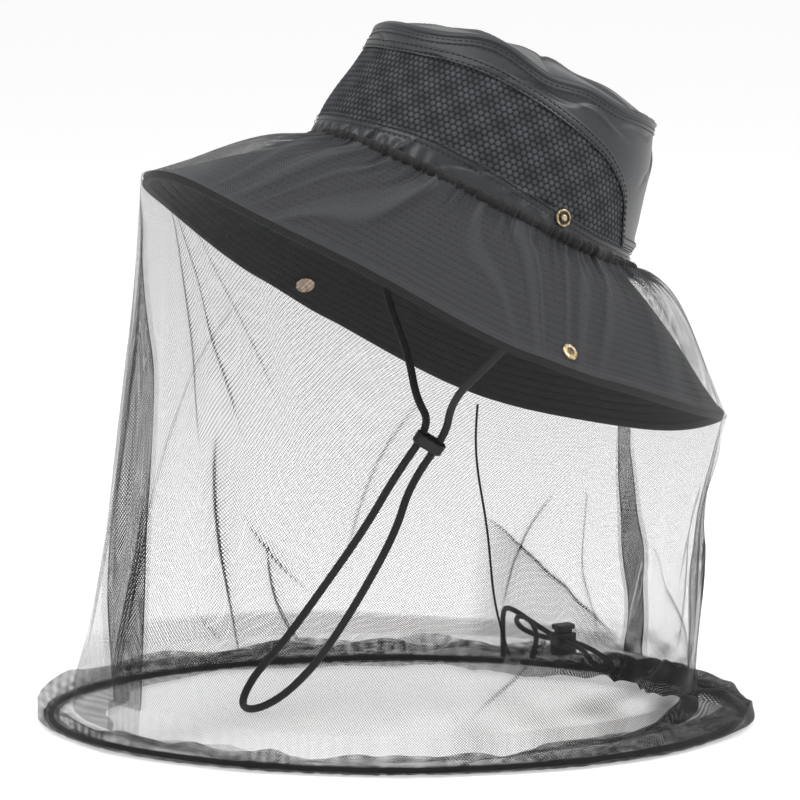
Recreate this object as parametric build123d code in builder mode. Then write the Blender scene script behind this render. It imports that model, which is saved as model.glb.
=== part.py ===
from build123d import *
from math import atan2, cos, degrees, hypot, pi, radians, sin, tan
import os

os.makedirs("parts", exist_ok=True)

# A soft, wide-brimmed sun hat that carries a net veil. The veil hangs from the crown over the brim
# down to a drawcord hem. Millimetres. The origin is the centre of the head opening, +Z is up, the
# hat's front faces -Y and the hat is tilted back, with its front raised.

# ---- driving dimensions ----------------------------------------------------------------------

HAT_TILT = 23.5  # degrees, front raised about the ear-to-ear axis

HEAD_HALF_LENGTH = 98.0  # crown at the head opening, for a 58 cm head
HEAD_HALF_WIDTH = 87.0
SEAM_HEIGHT = 72.0  # seam between the crown's side and its top
SEAM_HALF_LENGTH = 86.0
SEAM_HALF_WIDTH = 78.0
DOME_SECTIONS = ((72.0, 1.0), (79.0, 0.94), (84.0, 0.74), (86.5, 0.38))  # height, share of the seam
CROWN_WALL = 1.2
FOOT_AT_SIDES = -14.0  # the crown meets the brim here, lower at the sides than at both ends
FOOT_SLOPE = -3.5
FOOT_RISE = 9.5
SEAM_CURVE = ((-115, 16), (-78, 16.5), (-54, 12), (-29, 6.5), (0, 2.2), (29, 0.5), (60, 2), (115, 8))
MESH_TOP_CURVE = ((-115, 57), (-78, 61), (-62, 60), (-36, 55), (-3, 47.5), (20, 41), (37, 31))
MESH_BACK_CURVE = ((37, 31), (48, 20), (52, 8), (52, -4))  # the mesh ends behind the ears

SWEATBAND_INSET = 2.3
SWEATBAND_WALL = 1.4
SWEATBAND_LOW = -2.0  # from the crown's foot
SWEATBAND_HIGH = 18.0

BRIM_ROOT_GAP = 0.4
BRIM_EDGE_LENGTH = 190.0
BRIM_EDGE_WIDTH = 140.0
BRIM_EDGE_HEIGHT = -68.7
BRIM_WAVES = ((1, 9.5, -96), (2, 11.0, 66), (3, 3.0, -57))  # waves round the edge: height, peak
BRIM_LAYERS = {"upper": (0.0, 1.0), "interlining": (1.0, 2.2), "lower": (2.2, 3.4)}  # depths
BINDING_LAP = 0.045  # share of the brim's width that the binding covers
BINDING_OVERHANG = 0.018
BINDING_FOLD = 1.0  # the tape's height above and below the brim

SNAP_RADIUS = 5.0
SNAP_HEIGHT = 1.5
SHANK_RADIUS = 1.2
SNAP_LIP = 1.1
SNAP_DISH = 0.6
STUD_NUB_RADIUS = 2.0
STUD_NUB_RISE = 0.8
SOCKET_BORE_RADIUS = 2.6
CAP_RIM = 0.6
CAP_HEIGHT = 1.1
POST_RIM = 0.8
POST_HEIGHT = 0.7
STUD_HEIGHT = 0.3  # on the crown's side
SOCKET_REACH = 0.88  # share of the brim's width
SURFACE_GAP = 0.15  # between a metal snap and the cloth it is clenched on

FLOOR = -298.0  # where the veil's hem lies
HEM_CENTRE = (-25.0, -35.0)
HEM_TURN = 56.0  # degrees from +X to the hem oval's long axis
HEM_HALF_LENGTH = 198.0
HEM_HALF_WIDTH = 144.0
HEM_END_RADIUS = 110.0
HEM_BAND_WIDTH = 9.0
HEM_BAND_HEIGHT = 5.5
HEM_BORE_RADIUS = 2.2
NET_WALL = 1.2
NET_LIFT = 3.2  # the net's height over the brim
NET_START = 0.06
NET_REACH = 1.03
NET_SETBACK = 3.5  # from the brim's edge to the curtain's outer face

LACE_WIDTH = 4.5
DRAWCORD_DIAMETER = 3.2
DRAWCORD_EXITS = (121.6, 115.5)  # degrees about the hem's centre
SEAM_TOP_ANGLE = 140.7
SEAM_BOTTOM_ANGLE = 118.5

SLIDER_CENTRE = Vector(-12.0, -21.0, -138.0)
SLIDER_AXIS = Vector(-0.443, -0.362, -0.820).normalized()  # down the two strands
SLIDER_SPAN = Vector(0.378, 0.755, -0.537).normalized()  # from hole to hole
SLIDER_SIZE = (19.0, 9.0, 8.0)
SLIDER_HOLE_SPACING = 10.0
SLIDER_HOLE_RADIUS = 2.7

LOCK_CENTRE = (-108.0, 143.0)
LOCK_CORD_HEIGHT = -290.0
LOCK_CORD_SPACING = 4.4
LOCK_SIZE = (11.0, 14.0, 13.0)
LOCK_SLOT = (8.2, 3.7)
PLUNGER_SIZE = (5.4, 10.4)
PLUNGER_CLEARANCE = 0.2
BUTTON_TRAVEL = 2.2

# ---- frames and outlines that several pieces share -----------------------------------------------

hat = Plane.XY.rotated((-HAT_TILT, 0, 0))
hat_side_view = Plane(origin=(0, 0, 0), x_dir=hat.y_dir, z_dir=(1, 0, 0))
hem = Plane(
    origin=(HEM_CENTRE[0], HEM_CENTRE[1], FLOOR),
    x_dir=(cos(radians(HEM_TURN)), sin(radians(HEM_TURN)), 0),
    z_dir=(0, 0, 1),
)


def in_hat(x, y, z):
    """A point given along the hat's own width, length and height."""
    return hat.from_local_coords(Vector(x, y, z))


def crown_oval(height, inset=0.0):
    """Oval of the crown's wall: its height, half length and half width."""
    rise = height / SEAM_HEIGHT
    half_length = HEAD_HALF_LENGTH + (SEAM_HALF_LENGTH - HEAD_HALF_LENGTH) * rise
    half_width = HEAD_HALF_WIDTH + (SEAM_HALF_WIDTH - HEAD_HALF_WIDTH) * rise
    return height, half_length - inset, half_width - inset


def dome_oval(section, inset=0.0):
    """Oval of the crown's domed top."""
    height, share = section
    return height - inset, SEAM_HALF_LENGTH * share - inset, SEAM_HALF_WIDTH * share - inset


def foot_height(place):
    """Height of the crown's foot, for a place from -1 at the front to 1 at the back."""
    return FOOT_AT_SIDES + FOOT_SLOPE * place + FOOT_RISE * place**2


def brim_point(angle, reach, lift=0.0):
    """Point over the brim's upper surface: reach is 0 at the crown and 1 at the edge."""
    across, along = cos(radians(angle)), sin(radians(angle))
    root = foot_height(along)
    _, root_length, root_width = crown_oval(root, -BRIM_ROOT_GAP)
    edge = BRIM_EDGE_HEIGHT
    edge += sum(size * cos(radians(waves * (angle - peak))) for waves, size, peak in BRIM_WAVES)
    half_width = root_width + (BRIM_EDGE_WIDTH - root_width) * reach
    half_length = root_length + (BRIM_EDGE_LENGTH - root_length) * reach
    return in_hat(half_width * across, half_length * along, root + (edge - root) * reach + lift)


def oval_loft(ovals, mode=Mode.ADD):
    """Solid through ovals of the hat, each a height, half length and half width."""
    sections = []
    for height, half_length, half_width in ovals:
        with BuildSketch(hat.offset(height)) as section:
            Ellipse(half_width, half_length)
        sections.append(section.sketch)
    loft(sections, mode=mode)


def crown_shell(low, high, inset, wall):
    """Band of the crown's wall."""
    oval_loft((crown_oval(low, inset), crown_oval(high, inset)))
    inner = inset + wall
    oval_loft((crown_oval(low - 1, inner), crown_oval(high + 1, inner)), Mode.SUBTRACT)


def ring_loft(outline, step=15):
    """Closed ring through flat outlines. outline gives one outline's corners for a direction."""
    for start in (45, 225):
        sections = [
            Face(Wire.make_polygon(outline(start + turn), close=True))
            for turn in range(0, 180 + step, step)
        ]
        loft(sections)


def brim_skin(profile):
    """Ring on the brim, from a profile of reaches and heights over its upper surface."""
    ring_loft(lambda angle: [brim_point(angle, reach, lift) for reach, lift in profile])


def brim_layer_profile(top, bottom, reach_in=0.0, reach_out=1.0):
    return (reach_in, top), (reach_out, top), (reach_out, bottom), (reach_in, bottom)


def side_region(*curves, mode=Mode.INTERSECT):
    """Keeps or cuts what lies inside smooth curves drawn on the hat's side view."""
    with BuildSketch(hat_side_view) as region:
        with BuildLine():
            for curve in curves:
                Spline(*curve) if len(curve) > 2 else Line(*curve)
        make_face()
    extrude(region.sketch, amount=2 * HEAD_HALF_WIDTH, both=True, mode=mode)


def foot_curve(shift=0.0):
    """The crown's foot on the hat's side view."""
    places = (-1.15, -0.8, -0.4, 0.0, 0.4, 0.8, 1.15)
    return [(place * HEAD_HALF_LENGTH, foot_height(place) + shift) for place in places]


def foot_band(low, high):
    """Keeps a band at an even height above the crown's foot."""
    lower, upper = foot_curve(low), foot_curve(high)
    side_region(lower, (lower[-1], upper[-1]), upper[::-1], (upper[0], lower[0]))


def mesh_window(mode):
    """The region of the crown's side that the mesh fills, seen from the side."""
    below, front_top = (-115, -30), MESH_TOP_CURVE[0]
    back_low = MESH_BACK_CURVE[-1]
    back_foot = (back_low[0], below[1])
    side_region(MESH_TOP_CURVE, MESH_BACK_CURVE, (back_low, back_foot), (back_foot, below),
                (below, front_top), mode=mode)


def above_seam(mode):
    """The crown above its lower seam, seen from the side."""
    back, front = SEAM_CURVE[-1], SEAM_CURVE[0]
    back_top, front_top = (back[0], SEAM_HEIGHT + 30), (front[0], SEAM_HEIGHT + 30)
    side_region(SEAM_CURVE, (back, back_top), (back_top, front_top), (front_top, front), mode=mode)


def save(piece, name):
    piece.part.label = name
    export_step(piece.part, f"parts/{name}.step")


SIDES = {"left": 1, "right": -1}  # as worn: left is +X


def stud_plane(side):
    """On the crown's side, facing out."""
    height, _, half_width = crown_oval(STUD_HEIGHT)
    lean = (HEAD_HALF_WIDTH - SEAM_HALF_WIDTH) / SEAM_HEIGHT
    outward = hat.x_dir * side + hat.z_dir * lean
    return Plane(origin=in_hat(side * half_width, 0, height), x_dir=hat.y_dir, z_dir=outward)


def socket_plane(side):
    """On the brim's upper surface beside the ear, facing out of it."""
    angle = 0 if side > 0 else 180
    centre = brim_point(angle, SOCKET_REACH)
    along = brim_point(angle + 1, SOCKET_REACH) - brim_point(angle - 1, SOCKET_REACH)
    outward = brim_point(angle, 1.0) - brim_point(angle, 0.8)
    return Plane(origin=centre, x_dir=along, z_dir=outward.cross(along))


def socket_brim_thickness(side):
    """The brim's thickness square to its surface at the socket."""
    return BRIM_LAYERS["lower"][1] * abs(socket_plane(side).z_dir.dot(hat.z_dir))


def shank_holes(planes):
    """Holes that the snaps' shanks pass through."""
    for plane in planes:
        with BuildSketch(plane) as hole:
            Circle(SHANK_RADIUS + SURFACE_GAP)
        extrude(hole.sketch, amount=2 * SNAP_RADIUS, both=True, mode=Mode.SUBTRACT)


stud_planes = [stud_plane(side) for side in SIDES.values()]
socket_planes = [socket_plane(side) for side in SIDES.values()]

# ---- crown -----------------------------------------------------------------------------------

with BuildPart() as crown_top_panel:
    oval_loft([dome_oval(section) for section in DOME_SECTIONS])
    oval_loft([dome_oval(section, CROWN_WALL) for section in DOME_SECTIONS], Mode.SUBTRACT)
save(crown_top_panel, "crown_top_panel")

with BuildPart() as crown_side_panel:
    crown_shell(FOOT_AT_SIDES, SEAM_HEIGHT, 0.0, CROWN_WALL)
    above_seam(Mode.INTERSECT)
    mesh_window(Mode.SUBTRACT)
save(crown_side_panel, "crown_side_panel")

with BuildPart() as crown_mesh_panel:
    crown_shell(FOOT_AT_SIDES, SEAM_HEIGHT, 0.0, CROWN_WALL)
    above_seam(Mode.INTERSECT)
    mesh_window(Mode.INTERSECT)
save(crown_mesh_panel, "crown_mesh_panel")

with BuildPart() as crown_lower_band:
    crown_shell(FOOT_AT_SIDES - 2, MESH_TOP_CURVE[0][1], 0.0, CROWN_WALL)
    foot_band(0.0, SEAM_HEIGHT)
    above_seam(Mode.SUBTRACT)
    shank_holes(stud_planes)
save(crown_lower_band, "crown_lower_band")

with BuildPart() as sweatband:
    crown_shell(2 * FOOT_AT_SIDES, SEAM_HEIGHT / 2, SWEATBAND_INSET, SWEATBAND_WALL)
    foot_band(SWEATBAND_LOW, SWEATBAND_HIGH)
save(sweatband, "sweatband")

# ---- brim ------------------------------------------------------------------------------------

brim_layers = {}
for layer, (top, bottom) in BRIM_LAYERS.items():
    with BuildPart() as brim_layer:
        brim_skin(brim_layer_profile(-top, -bottom))
        shank_holes(socket_planes)
    brim_layers[layer] = brim_layer
save(brim_layers["upper"], "brim_upper_layer")
save(brim_layers["interlining"], "brim_interlining")
save(brim_layers["lower"], "brim_lower_layer")

with BuildPart() as brim_edge_binding:
    brim_bottom = -BRIM_LAYERS["lower"][1]
    lap, fold = 1 - BINDING_LAP, 1 + BINDING_OVERHANG
    brim_skin((
        (lap, BINDING_FOLD), (fold, BINDING_FOLD), (fold, brim_bottom - BINDING_FOLD),
        (lap, brim_bottom - BINDING_FOLD), (lap, brim_bottom), (1.0, brim_bottom), (1.0, 0.0),
        (lap, 0.0),
    ))
save(brim_edge_binding, "brim_edge_binding")

# ---- snaps -----------------------------------------------------------------------------------

for side_name, side in SIDES.items():
    outside = stud_plane(side).offset(SURFACE_GAP)
    with BuildPart() as crown_snap_stud:
        with BuildSketch(outside):
            Circle(SNAP_RADIUS)
        extrude(amount=SNAP_HEIGHT)
        fillet(crown_snap_stud.edges().sort_by(Axis(outside.origin, outside.z_dir))[-1], 0.5)
        with BuildSketch(outside.offset(SNAP_DISH)):
            Circle(SNAP_RADIUS - SNAP_LIP)
        extrude(amount=SNAP_HEIGHT, mode=Mode.SUBTRACT)
        with BuildSketch(outside):
            Circle(STUD_NUB_RADIUS)
        extrude(amount=SNAP_HEIGHT + STUD_NUB_RISE)
        fillet(crown_snap_stud.edges().sort_by(Axis(outside.origin, outside.z_dir))[-1], 0.8)
        with BuildSketch(outside):
            Circle(SHANK_RADIUS)
        extrude(amount=-(CROWN_WALL + 2 * SURFACE_GAP))
    save(crown_snap_stud, f"crown_snap_stud_{side_name}")

    with BuildPart() as crown_snap_post:
        with BuildSketch(stud_plane(side).offset(-(CROWN_WALL + SURFACE_GAP))):
            Circle(SNAP_RADIUS - POST_RIM)
        extrude(amount=-POST_HEIGHT)
    save(crown_snap_post, f"crown_snap_post_{side_name}")

    on_brim = socket_plane(side).offset(SURFACE_GAP)
    brim_thickness = socket_brim_thickness(side)
    with BuildPart() as brim_snap_socket:
        with BuildSketch(on_brim):
            Circle(SNAP_RADIUS)
        extrude(amount=SNAP_HEIGHT)
        fillet(brim_snap_socket.edges().sort_by(Axis(on_brim.origin, on_brim.z_dir))[-1], 0.6)
        with BuildSketch(on_brim.offset(0.5)):
            Circle(SOCKET_BORE_RADIUS)
        extrude(amount=SNAP_HEIGHT, mode=Mode.SUBTRACT)
        with BuildSketch(on_brim):
            Circle(SHANK_RADIUS)
        extrude(amount=-(brim_thickness + 2 * SURFACE_GAP))
    save(brim_snap_socket, f"brim_snap_socket_{side_name}")

    under_brim = socket_plane(side).offset(-(brim_thickness + SURFACE_GAP))
    with BuildPart() as brim_snap_cap:
        with BuildSketch(under_brim):
            Circle(SNAP_RADIUS + CAP_RIM)
        extrude(amount=-CAP_HEIGHT)
        fillet(brim_snap_cap.edges().sort_by(Axis(under_brim.origin, under_brim.z_dir))[0], 0.6)
    save(brim_snap_cap, f"brim_snap_cap_{side_name}")

# ---- chin cord -------------------------------------------------------------------------------

TAB_SIZE = (2.0, 13.0, 15.0)
TAB_TOP = -3.0
_, _, sweatband_half_width = crown_oval(TAB_TOP, SWEATBAND_INSET + SWEATBAND_WALL)
TAB_OFFSET = sweatband_half_width - 0.3 - TAB_SIZE[0] / 2

for side_name, side in SIDES.items():
    with BuildPart() as chin_cord_tab:
        with BuildSketch(hat.offset(TAB_TOP)):
            with Locations((side * TAB_OFFSET, 0)):
                RectangleRounded(TAB_SIZE[0], TAB_SIZE[1], 0.6)
        extrude(amount=-TAB_SIZE[2])
    save(chin_cord_tab, f"chin_cord_tab_{side_name}")


def tab_exit(side):
    """Centre of the tab's lower end, where the lace leaves it."""
    return in_hat(side * TAB_OFFSET, 0, TAB_TOP - TAB_SIZE[2])


def strand(side, along):
    """Point on the straight stretch of one strand through the slider, measured down from it."""
    return SLIDER_CENTRE + SLIDER_SPAN * (side * SLIDER_HOLE_SPACING / 2) + SLIDER_AXIS * along


LACE_TOP = -10.0  # the stretch through the slider, from its upper corner to its lower one
LACE_BOTTOM = 28.0

lace_route = [
    tab_exit(1),
    (80, -9, -38),
    (70, -12, -58),
    (52, -14, -76),
    (34, -17, -91),
    (17, -19, -104),
    (3, -17, -117),
    strand(1, LACE_TOP),
    strand(1, LACE_BOTTOM),
    (-21, -38, -190),
    (-35, -56, -232),
    (-48, -72, -264),
    (-58, -85, -282),
    (-67, -96, -292),
    (-76, -103, -295.5),
    (-85, -102, -293.5),
    (-90, -95, -286),
    (-85, -90, -275),
    (-72, -80, -256),
    (-56, -63, -223),
    (-37, -47, -187),
    strand(-1, LACE_BOTTOM),
    strand(-1, LACE_TOP),
    (-23, -22.5, -113.5),
    (-36, -18, -95),
    (-54, -12, -82),
    (-75, -7, -65),
    (-83, -6, -41),
    tab_exit(-1),
]


def corner_radii(route):
    """The largest arc at each corner: 0.45 of the shorter run over the tangent of half the turn."""
    points = [Vector(*point) for point in route]
    radii = []
    for before, corner, after in zip(points, points[1:], points[2:]):
        run_in, run_out = corner - before, after - corner
        half_turn = radians(run_in.get_angle(run_out)) / 2
        radii.append(0.45 * min(run_in.length, run_out.length) / tan(half_turn))
    return radii


def check_route(name, route, diameter, volume, path_length):
    """Prints the runs, the radii and the volume, for a person to read."""
    points = [Vector(*point) for point in route]
    runs = [(b - a).length for a, b in zip(points, points[1:])]
    turns = [(b - a).get_angle(c - b) for a, b, c in zip(points, points[1:], points[2:])]
    section = pi * diameter**2 / 4
    print(name, "runs", [round(run, 1) for run in runs])
    print(name, "turns", [round(turn) for turn in turns])
    print(name, "radii", [round(radius, 1) for radius in corner_radii(route)])
    print(name, "length", round(path_length, 1), "volume share", volume / (section * path_length))


with BuildPart() as chin_cord:
    with BuildLine() as lace_line:
        FilletPolyline(*lace_route, radius=corner_radii(lace_route))
    with BuildSketch(lace_line.line ^ 0):
        Circle(LACE_WIDTH / 2)
    sweep(path=lace_line.line)
save(chin_cord, "chin_cord")
check_route("lace", lace_route, LACE_WIDTH, chin_cord.part.volume, lace_line.wires()[0].length)

slider_plane = Plane(origin=SLIDER_CENTRE, x_dir=SLIDER_SPAN, z_dir=SLIDER_AXIS)
with BuildPart() as chin_slider:
    with BuildSketch(slider_plane.offset(-SLIDER_SIZE[2] / 2)):
        SlotOverall(SLIDER_SIZE[0], SLIDER_SIZE[1])
    extrude(amount=SLIDER_SIZE[2])
    fillet(chin_slider.edges().filter_by(GeomType.LINE, reverse=True), 2.0)
    with BuildSketch(slider_plane):
        with GridLocations(SLIDER_HOLE_SPACING, 0, 2, 1):
            Circle(SLIDER_HOLE_RADIUS)
    extrude(amount=SLIDER_SIZE[2], both=True, mode=Mode.SUBTRACT)
save(chin_slider, "chin_slider")

# ---- veil ------------------------------------------------------------------------------------


def rim_point(angle, inset=0.0):
    """Point of the curtain's top edge, beside the brim's edge in a direction from +X."""
    inward = in_hat(-cos(radians(angle)), -sin(radians(angle)), 0)
    return brim_point(angle, NET_REACH, NET_LIFT) + inward * (inset - NET_SETBACK)


def hem_radius(angle, inset=0.0):
    """Distance from the hem's centre to its oval, in a direction given from +X."""
    across, along = cos(radians(angle - HEM_TURN)), sin(radians(angle - HEM_TURN))
    long_side, short_side = HEM_HALF_LENGTH - inset, HEM_HALF_WIDTH - inset
    return long_side * short_side / hypot(short_side * across, long_side * along)


def hem_point(angle, inset=0.0, height=FLOOR + HEM_BAND_HEIGHT + 1.0):
    """Point of the curtain's lower edge."""
    radius = hem_radius(angle, inset)
    x = HEM_CENTRE[0] + radius * cos(radians(angle))
    y = HEM_CENTRE[1] + radius * sin(radians(angle))
    return Vector(x, y, height)


def curtain_outline(angle):
    """The curtain's section from its top edge down to the hem."""
    top = rim_point(angle)
    spread = atan2(BRIM_EDGE_LENGTH * sin(radians(angle)), BRIM_EDGE_WIDTH * cos(radians(angle)))
    bottom = hem_point(degrees(spread))
    outward = Vector(cos(radians(angle)), sin(radians(angle)), 0)
    return top, bottom, bottom - outward * NET_WALL, top - outward * NET_WALL


with BuildPart() as veil_net_curtain:
    ring_loft(curtain_outline)
save(veil_net_curtain, "veil_net_curtain")

def net_over_brim(angle):
    """Section of the net from beside the crown out to the curtain's top edge."""
    inner, outer = brim_point(angle, NET_START, NET_LIFT), rim_point(angle)
    thickness = hat.z_dir * NET_WALL
    return inner, outer, outer + thickness, inner + thickness


with BuildPart() as veil_net_upper:
    ring_loft(net_over_brim)
save(veil_net_upper, "veil_net_upper")

ELASTIC_LOW = 1.5  # from the crown's foot
ELASTIC_HIGH = 8.0
ELASTIC_THICKNESS = 2.6
ELASTIC_GAP = 0.2
with BuildPart() as veil_elastic:
    crown_shell(2 * FOOT_AT_SIDES, SEAM_HEIGHT / 2, -ELASTIC_THICKNESS - ELASTIC_GAP, ELASTIC_THICKNESS)
    foot_band(ELASTIC_LOW, ELASTIC_HIGH)
save(veil_elastic, "veil_elastic")

SEAM_RADIUS = 1.0
SEAM_START = 0.08  # share of the drop that the brim's edge takes
SEAM_INSET = 4.0
seam_bottom = hem_point(SEAM_BOTTOM_ANGLE, SEAM_INSET)
under_edge = rim_point(SEAM_TOP_ANGLE, SEAM_INSET)
seam_top = under_edge + (seam_bottom - under_edge) * SEAM_START
with BuildPart() as veil_seam:
    run = seam_bottom - seam_top
    with BuildSketch(Plane(origin=seam_top, z_dir=run)):
        Circle(SEAM_RADIUS)
    extrude(amount=run.length)
save(veil_seam, "veil_seam")

# The hem's oval is four tangent arcs: two small ones at its ends and two large ones between.
side_radius_from_centre = HEM_HALF_LENGTH - HEM_END_RADIUS
HEM_SIDE_RADIUS = (
    side_radius_from_centre**2 + HEM_HALF_WIDTH**2 - HEM_END_RADIUS**2
) / (2 * (HEM_HALF_WIDTH - HEM_END_RADIUS))
end_half_angle = degrees(atan2(HEM_SIDE_RADIUS - HEM_HALF_WIDTH, side_radius_from_centre))
hem_arcs = (
    (side_radius_from_centre, 0.0, HEM_END_RADIUS, -end_half_angle, 2 * end_half_angle),
    (0.0, HEM_HALF_WIDTH - HEM_SIDE_RADIUS, HEM_SIDE_RADIUS, end_half_angle, 180 - 2 * end_half_angle),
    (-side_radius_from_centre, 0.0, HEM_END_RADIUS, 180 - end_half_angle, 2 * end_half_angle),
    (0.0, HEM_SIDE_RADIUS - HEM_HALF_WIDTH, HEM_SIDE_RADIUS, 180 + end_half_angle, 180 - 2 * end_half_angle),
)


def around_hem(section):
    """Revolves a section round each of the hem's four arcs."""
    for centre_x, centre_y, radius, start, sweep_angle in hem_arcs:
        centre = hem.from_local_coords(Vector(centre_x, centre_y, 0))
        direction = hem.x_dir * cos(radians(start)) + hem.y_dir * sin(radians(start))
        start_plane = Plane(
            origin=centre + direction * radius,
            x_dir=direction,
            z_dir=direction.cross(Vector(0, 0, 1)),
        )
        with BuildSketch(start_plane) as profile:
            section()
        revolve(profile.sketch, axis=Axis(centre, (0, 0, 1)), revolution_arc=sweep_angle)


def casing_section():
    with Locations((0, HEM_BAND_HEIGHT / 2)):
        RectangleRounded(HEM_BAND_WIDTH, HEM_BAND_HEIGHT, 1.6)
        Circle(HEM_BORE_RADIUS, mode=Mode.SUBTRACT)


def drawcord_section():
    with Locations((0, HEM_BAND_HEIGHT / 2)):
        Circle(DRAWCORD_DIAMETER / 2)


with BuildPart() as veil_hem_casing:
    around_hem(casing_section)
    for exit_angle in DRAWCORD_EXITS:
        start = hem_point(exit_angle, height=FLOOR + HEM_BAND_HEIGHT / 2)
        outward = Vector(cos(radians(exit_angle)), sin(radians(exit_angle)), 0)
        with BuildSketch(Plane(origin=start, z_dir=outward)):
            Circle(HEM_BORE_RADIUS)
        extrude(amount=HEM_BAND_WIDTH, mode=Mode.SUBTRACT)
save(veil_hem_casing, "veil_hem_casing")

exit_middle = sum(DRAWCORD_EXITS) / 2
with BuildPart() as drawcord:
    around_hem(drawcord_section)
    with BuildSketch(Plane(origin=hem_point(exit_middle, height=FLOOR),
                           x_dir=(-sin(radians(exit_middle)), cos(radians(exit_middle)), 0),
                           z_dir=(0, 0, 1))):
        Rectangle(11, 4 * DRAWCORD_DIAMETER)
    extrude(amount=HEM_BAND_HEIGHT, mode=Mode.SUBTRACT)
save(drawcord, "drawcord")

# ---- drawcord loop and cord lock -------------------------------------------------------------

lock_x, lock_y = LOCK_CENTRE
cord_y = (lock_y + LOCK_CORD_SPACING / 2, lock_y - LOCK_CORD_SPACING / 2)

drawcord_route = [
    (-106.6, 97.6, -294.0),
    (-113, 102, -285),
    (-125, 110, -275),
    (-137, 120, -271.5),
    (-143, 132, -276),
    (-134, 141.5, -285),
    (-118, cord_y[0], LOCK_CORD_HEIGHT),
    (-86, cord_y[0], LOCK_CORD_HEIGHT),
    (-71, 146.8, -294.5),
    (-61.5, 145.2, -296.2),
    (-56.5, 139.6, -296.3),
    (-61.5, 134.4, -296.2),
    (-72, 136.4, -294.3),
    (-86, cord_y[1], LOCK_CORD_HEIGHT),
    (-116.5, cord_y[1], LOCK_CORD_HEIGHT),
    (-133, 139.3, -290.5),
    (-142, 134, -286.5),
    (-137, 128, -279),
    (-124, 125, -275.5),
    (-110, 122, -277),
    (-98, 117, -285),
    (-93.6, 109.6, -294.0),
]

with BuildPart() as drawcord_loop:
    with BuildLine() as drawcord_line:
        FilletPolyline(*drawcord_route, radius=corner_radii(drawcord_route))
    with BuildSketch(drawcord_line.line ^ 0):
        Circle(DRAWCORD_DIAMETER / 2)
    sweep(path=drawcord_line.line)
save(drawcord_loop, "drawcord_loop")
check_route("drawcord", drawcord_route, DRAWCORD_DIAMETER, drawcord_loop.part.volume,
            drawcord_line.wires()[0].length)

LOCK_TOP = FLOOR + LOCK_SIZE[2]
CAVITY_FLOOR = FLOOR + 1.0
WINDOW_LOW = LOCK_CORD_HEIGHT - DRAWCORD_DIAMETER / 2 - 0.15
WINDOW_HIGH = LOCK_CORD_HEIGHT + DRAWCORD_DIAMETER / 2 + BUTTON_TRAVEL + 0.15
PLUNGER_FOOT = WINDOW_LOW - 1.4
BUTTON_FOOT = LOCK_TOP + BUTTON_TRAVEL + 0.2
BUTTON_HEIGHT = 2.8

with BuildPart() as cord_lock_body:
    with BuildSketch(Plane.XY.offset(FLOOR)):
        with Locations(LOCK_CENTRE):
            RectangleRounded(LOCK_SIZE[0], LOCK_SIZE[1], 2.6)
    extrude(amount=LOCK_SIZE[2])
    fillet(cord_lock_body.edges().group_by(Axis.Z)[-1], 1.0)
    with BuildSketch(Plane.XY.offset(CAVITY_FLOOR)):
        with Locations(LOCK_CENTRE):
            RectangleRounded(PLUNGER_SIZE[0] + 2 * PLUNGER_CLEARANCE,
                             PLUNGER_SIZE[1] + 2 * PLUNGER_CLEARANCE, 1.2)
    extrude(amount=LOCK_SIZE[2], mode=Mode.SUBTRACT)
    with BuildSketch(Plane.YZ.offset(lock_x)):
        with Locations((lock_y, LOCK_CORD_HEIGHT)):
            SlotOverall(LOCK_SLOT[0], LOCK_SLOT[1])
    extrude(amount=LOCK_SIZE[0], both=True, mode=Mode.SUBTRACT)
save(cord_lock_body, "cord_lock_body")

with BuildPart() as cord_lock_button:
    with BuildSketch(Plane.XY.offset(PLUNGER_FOOT)):
        with Locations(LOCK_CENTRE):
            RectangleRounded(PLUNGER_SIZE[0], PLUNGER_SIZE[1], 1.0)
    extrude(amount=BUTTON_FOOT - PLUNGER_FOOT)
    with BuildSketch(Plane.XY.offset(BUTTON_FOOT)):
        with Locations(LOCK_CENTRE):
            RectangleRounded(LOCK_SIZE[0] - 2, LOCK_SIZE[1] - 1, 2.2)
    extrude(amount=BUTTON_HEIGHT)
    fillet(cord_lock_button.edges().group_by(Axis.Z)[-1], 0.9)
    with BuildSketch(Plane.YZ.offset(lock_x)):
        with Locations((lock_y, (WINDOW_LOW + WINDOW_HIGH) / 2)):
            RectangleRounded(LOCK_SLOT[0], WINDOW_HIGH - WINDOW_LOW, 1.0)
    extrude(amount=LOCK_SIZE[0], both=True, mode=Mode.SUBTRACT)
save(cord_lock_button, "cord_lock_button")

SPRING_RADIUS = 1.9
SPRING_WIRE = 0.25
spring_height = PLUNGER_FOOT - CAVITY_FLOOR - 2 * SPRING_WIRE - 0.1
with BuildPart() as cord_lock_spring:
    with BuildLine() as coil:
        Helix(pitch=spring_height / 4, height=spring_height, radius=SPRING_RADIUS,
              center=(lock_x, lock_y, CAVITY_FLOOR + SPRING_WIRE + 0.05))
    with BuildSketch(coil.line ^ 0):
        Circle(SPRING_WIRE)
    sweep(path=coil.line, is_frenet=True)
save(cord_lock_spring, "cord_lock_spring")
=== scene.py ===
import math

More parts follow.
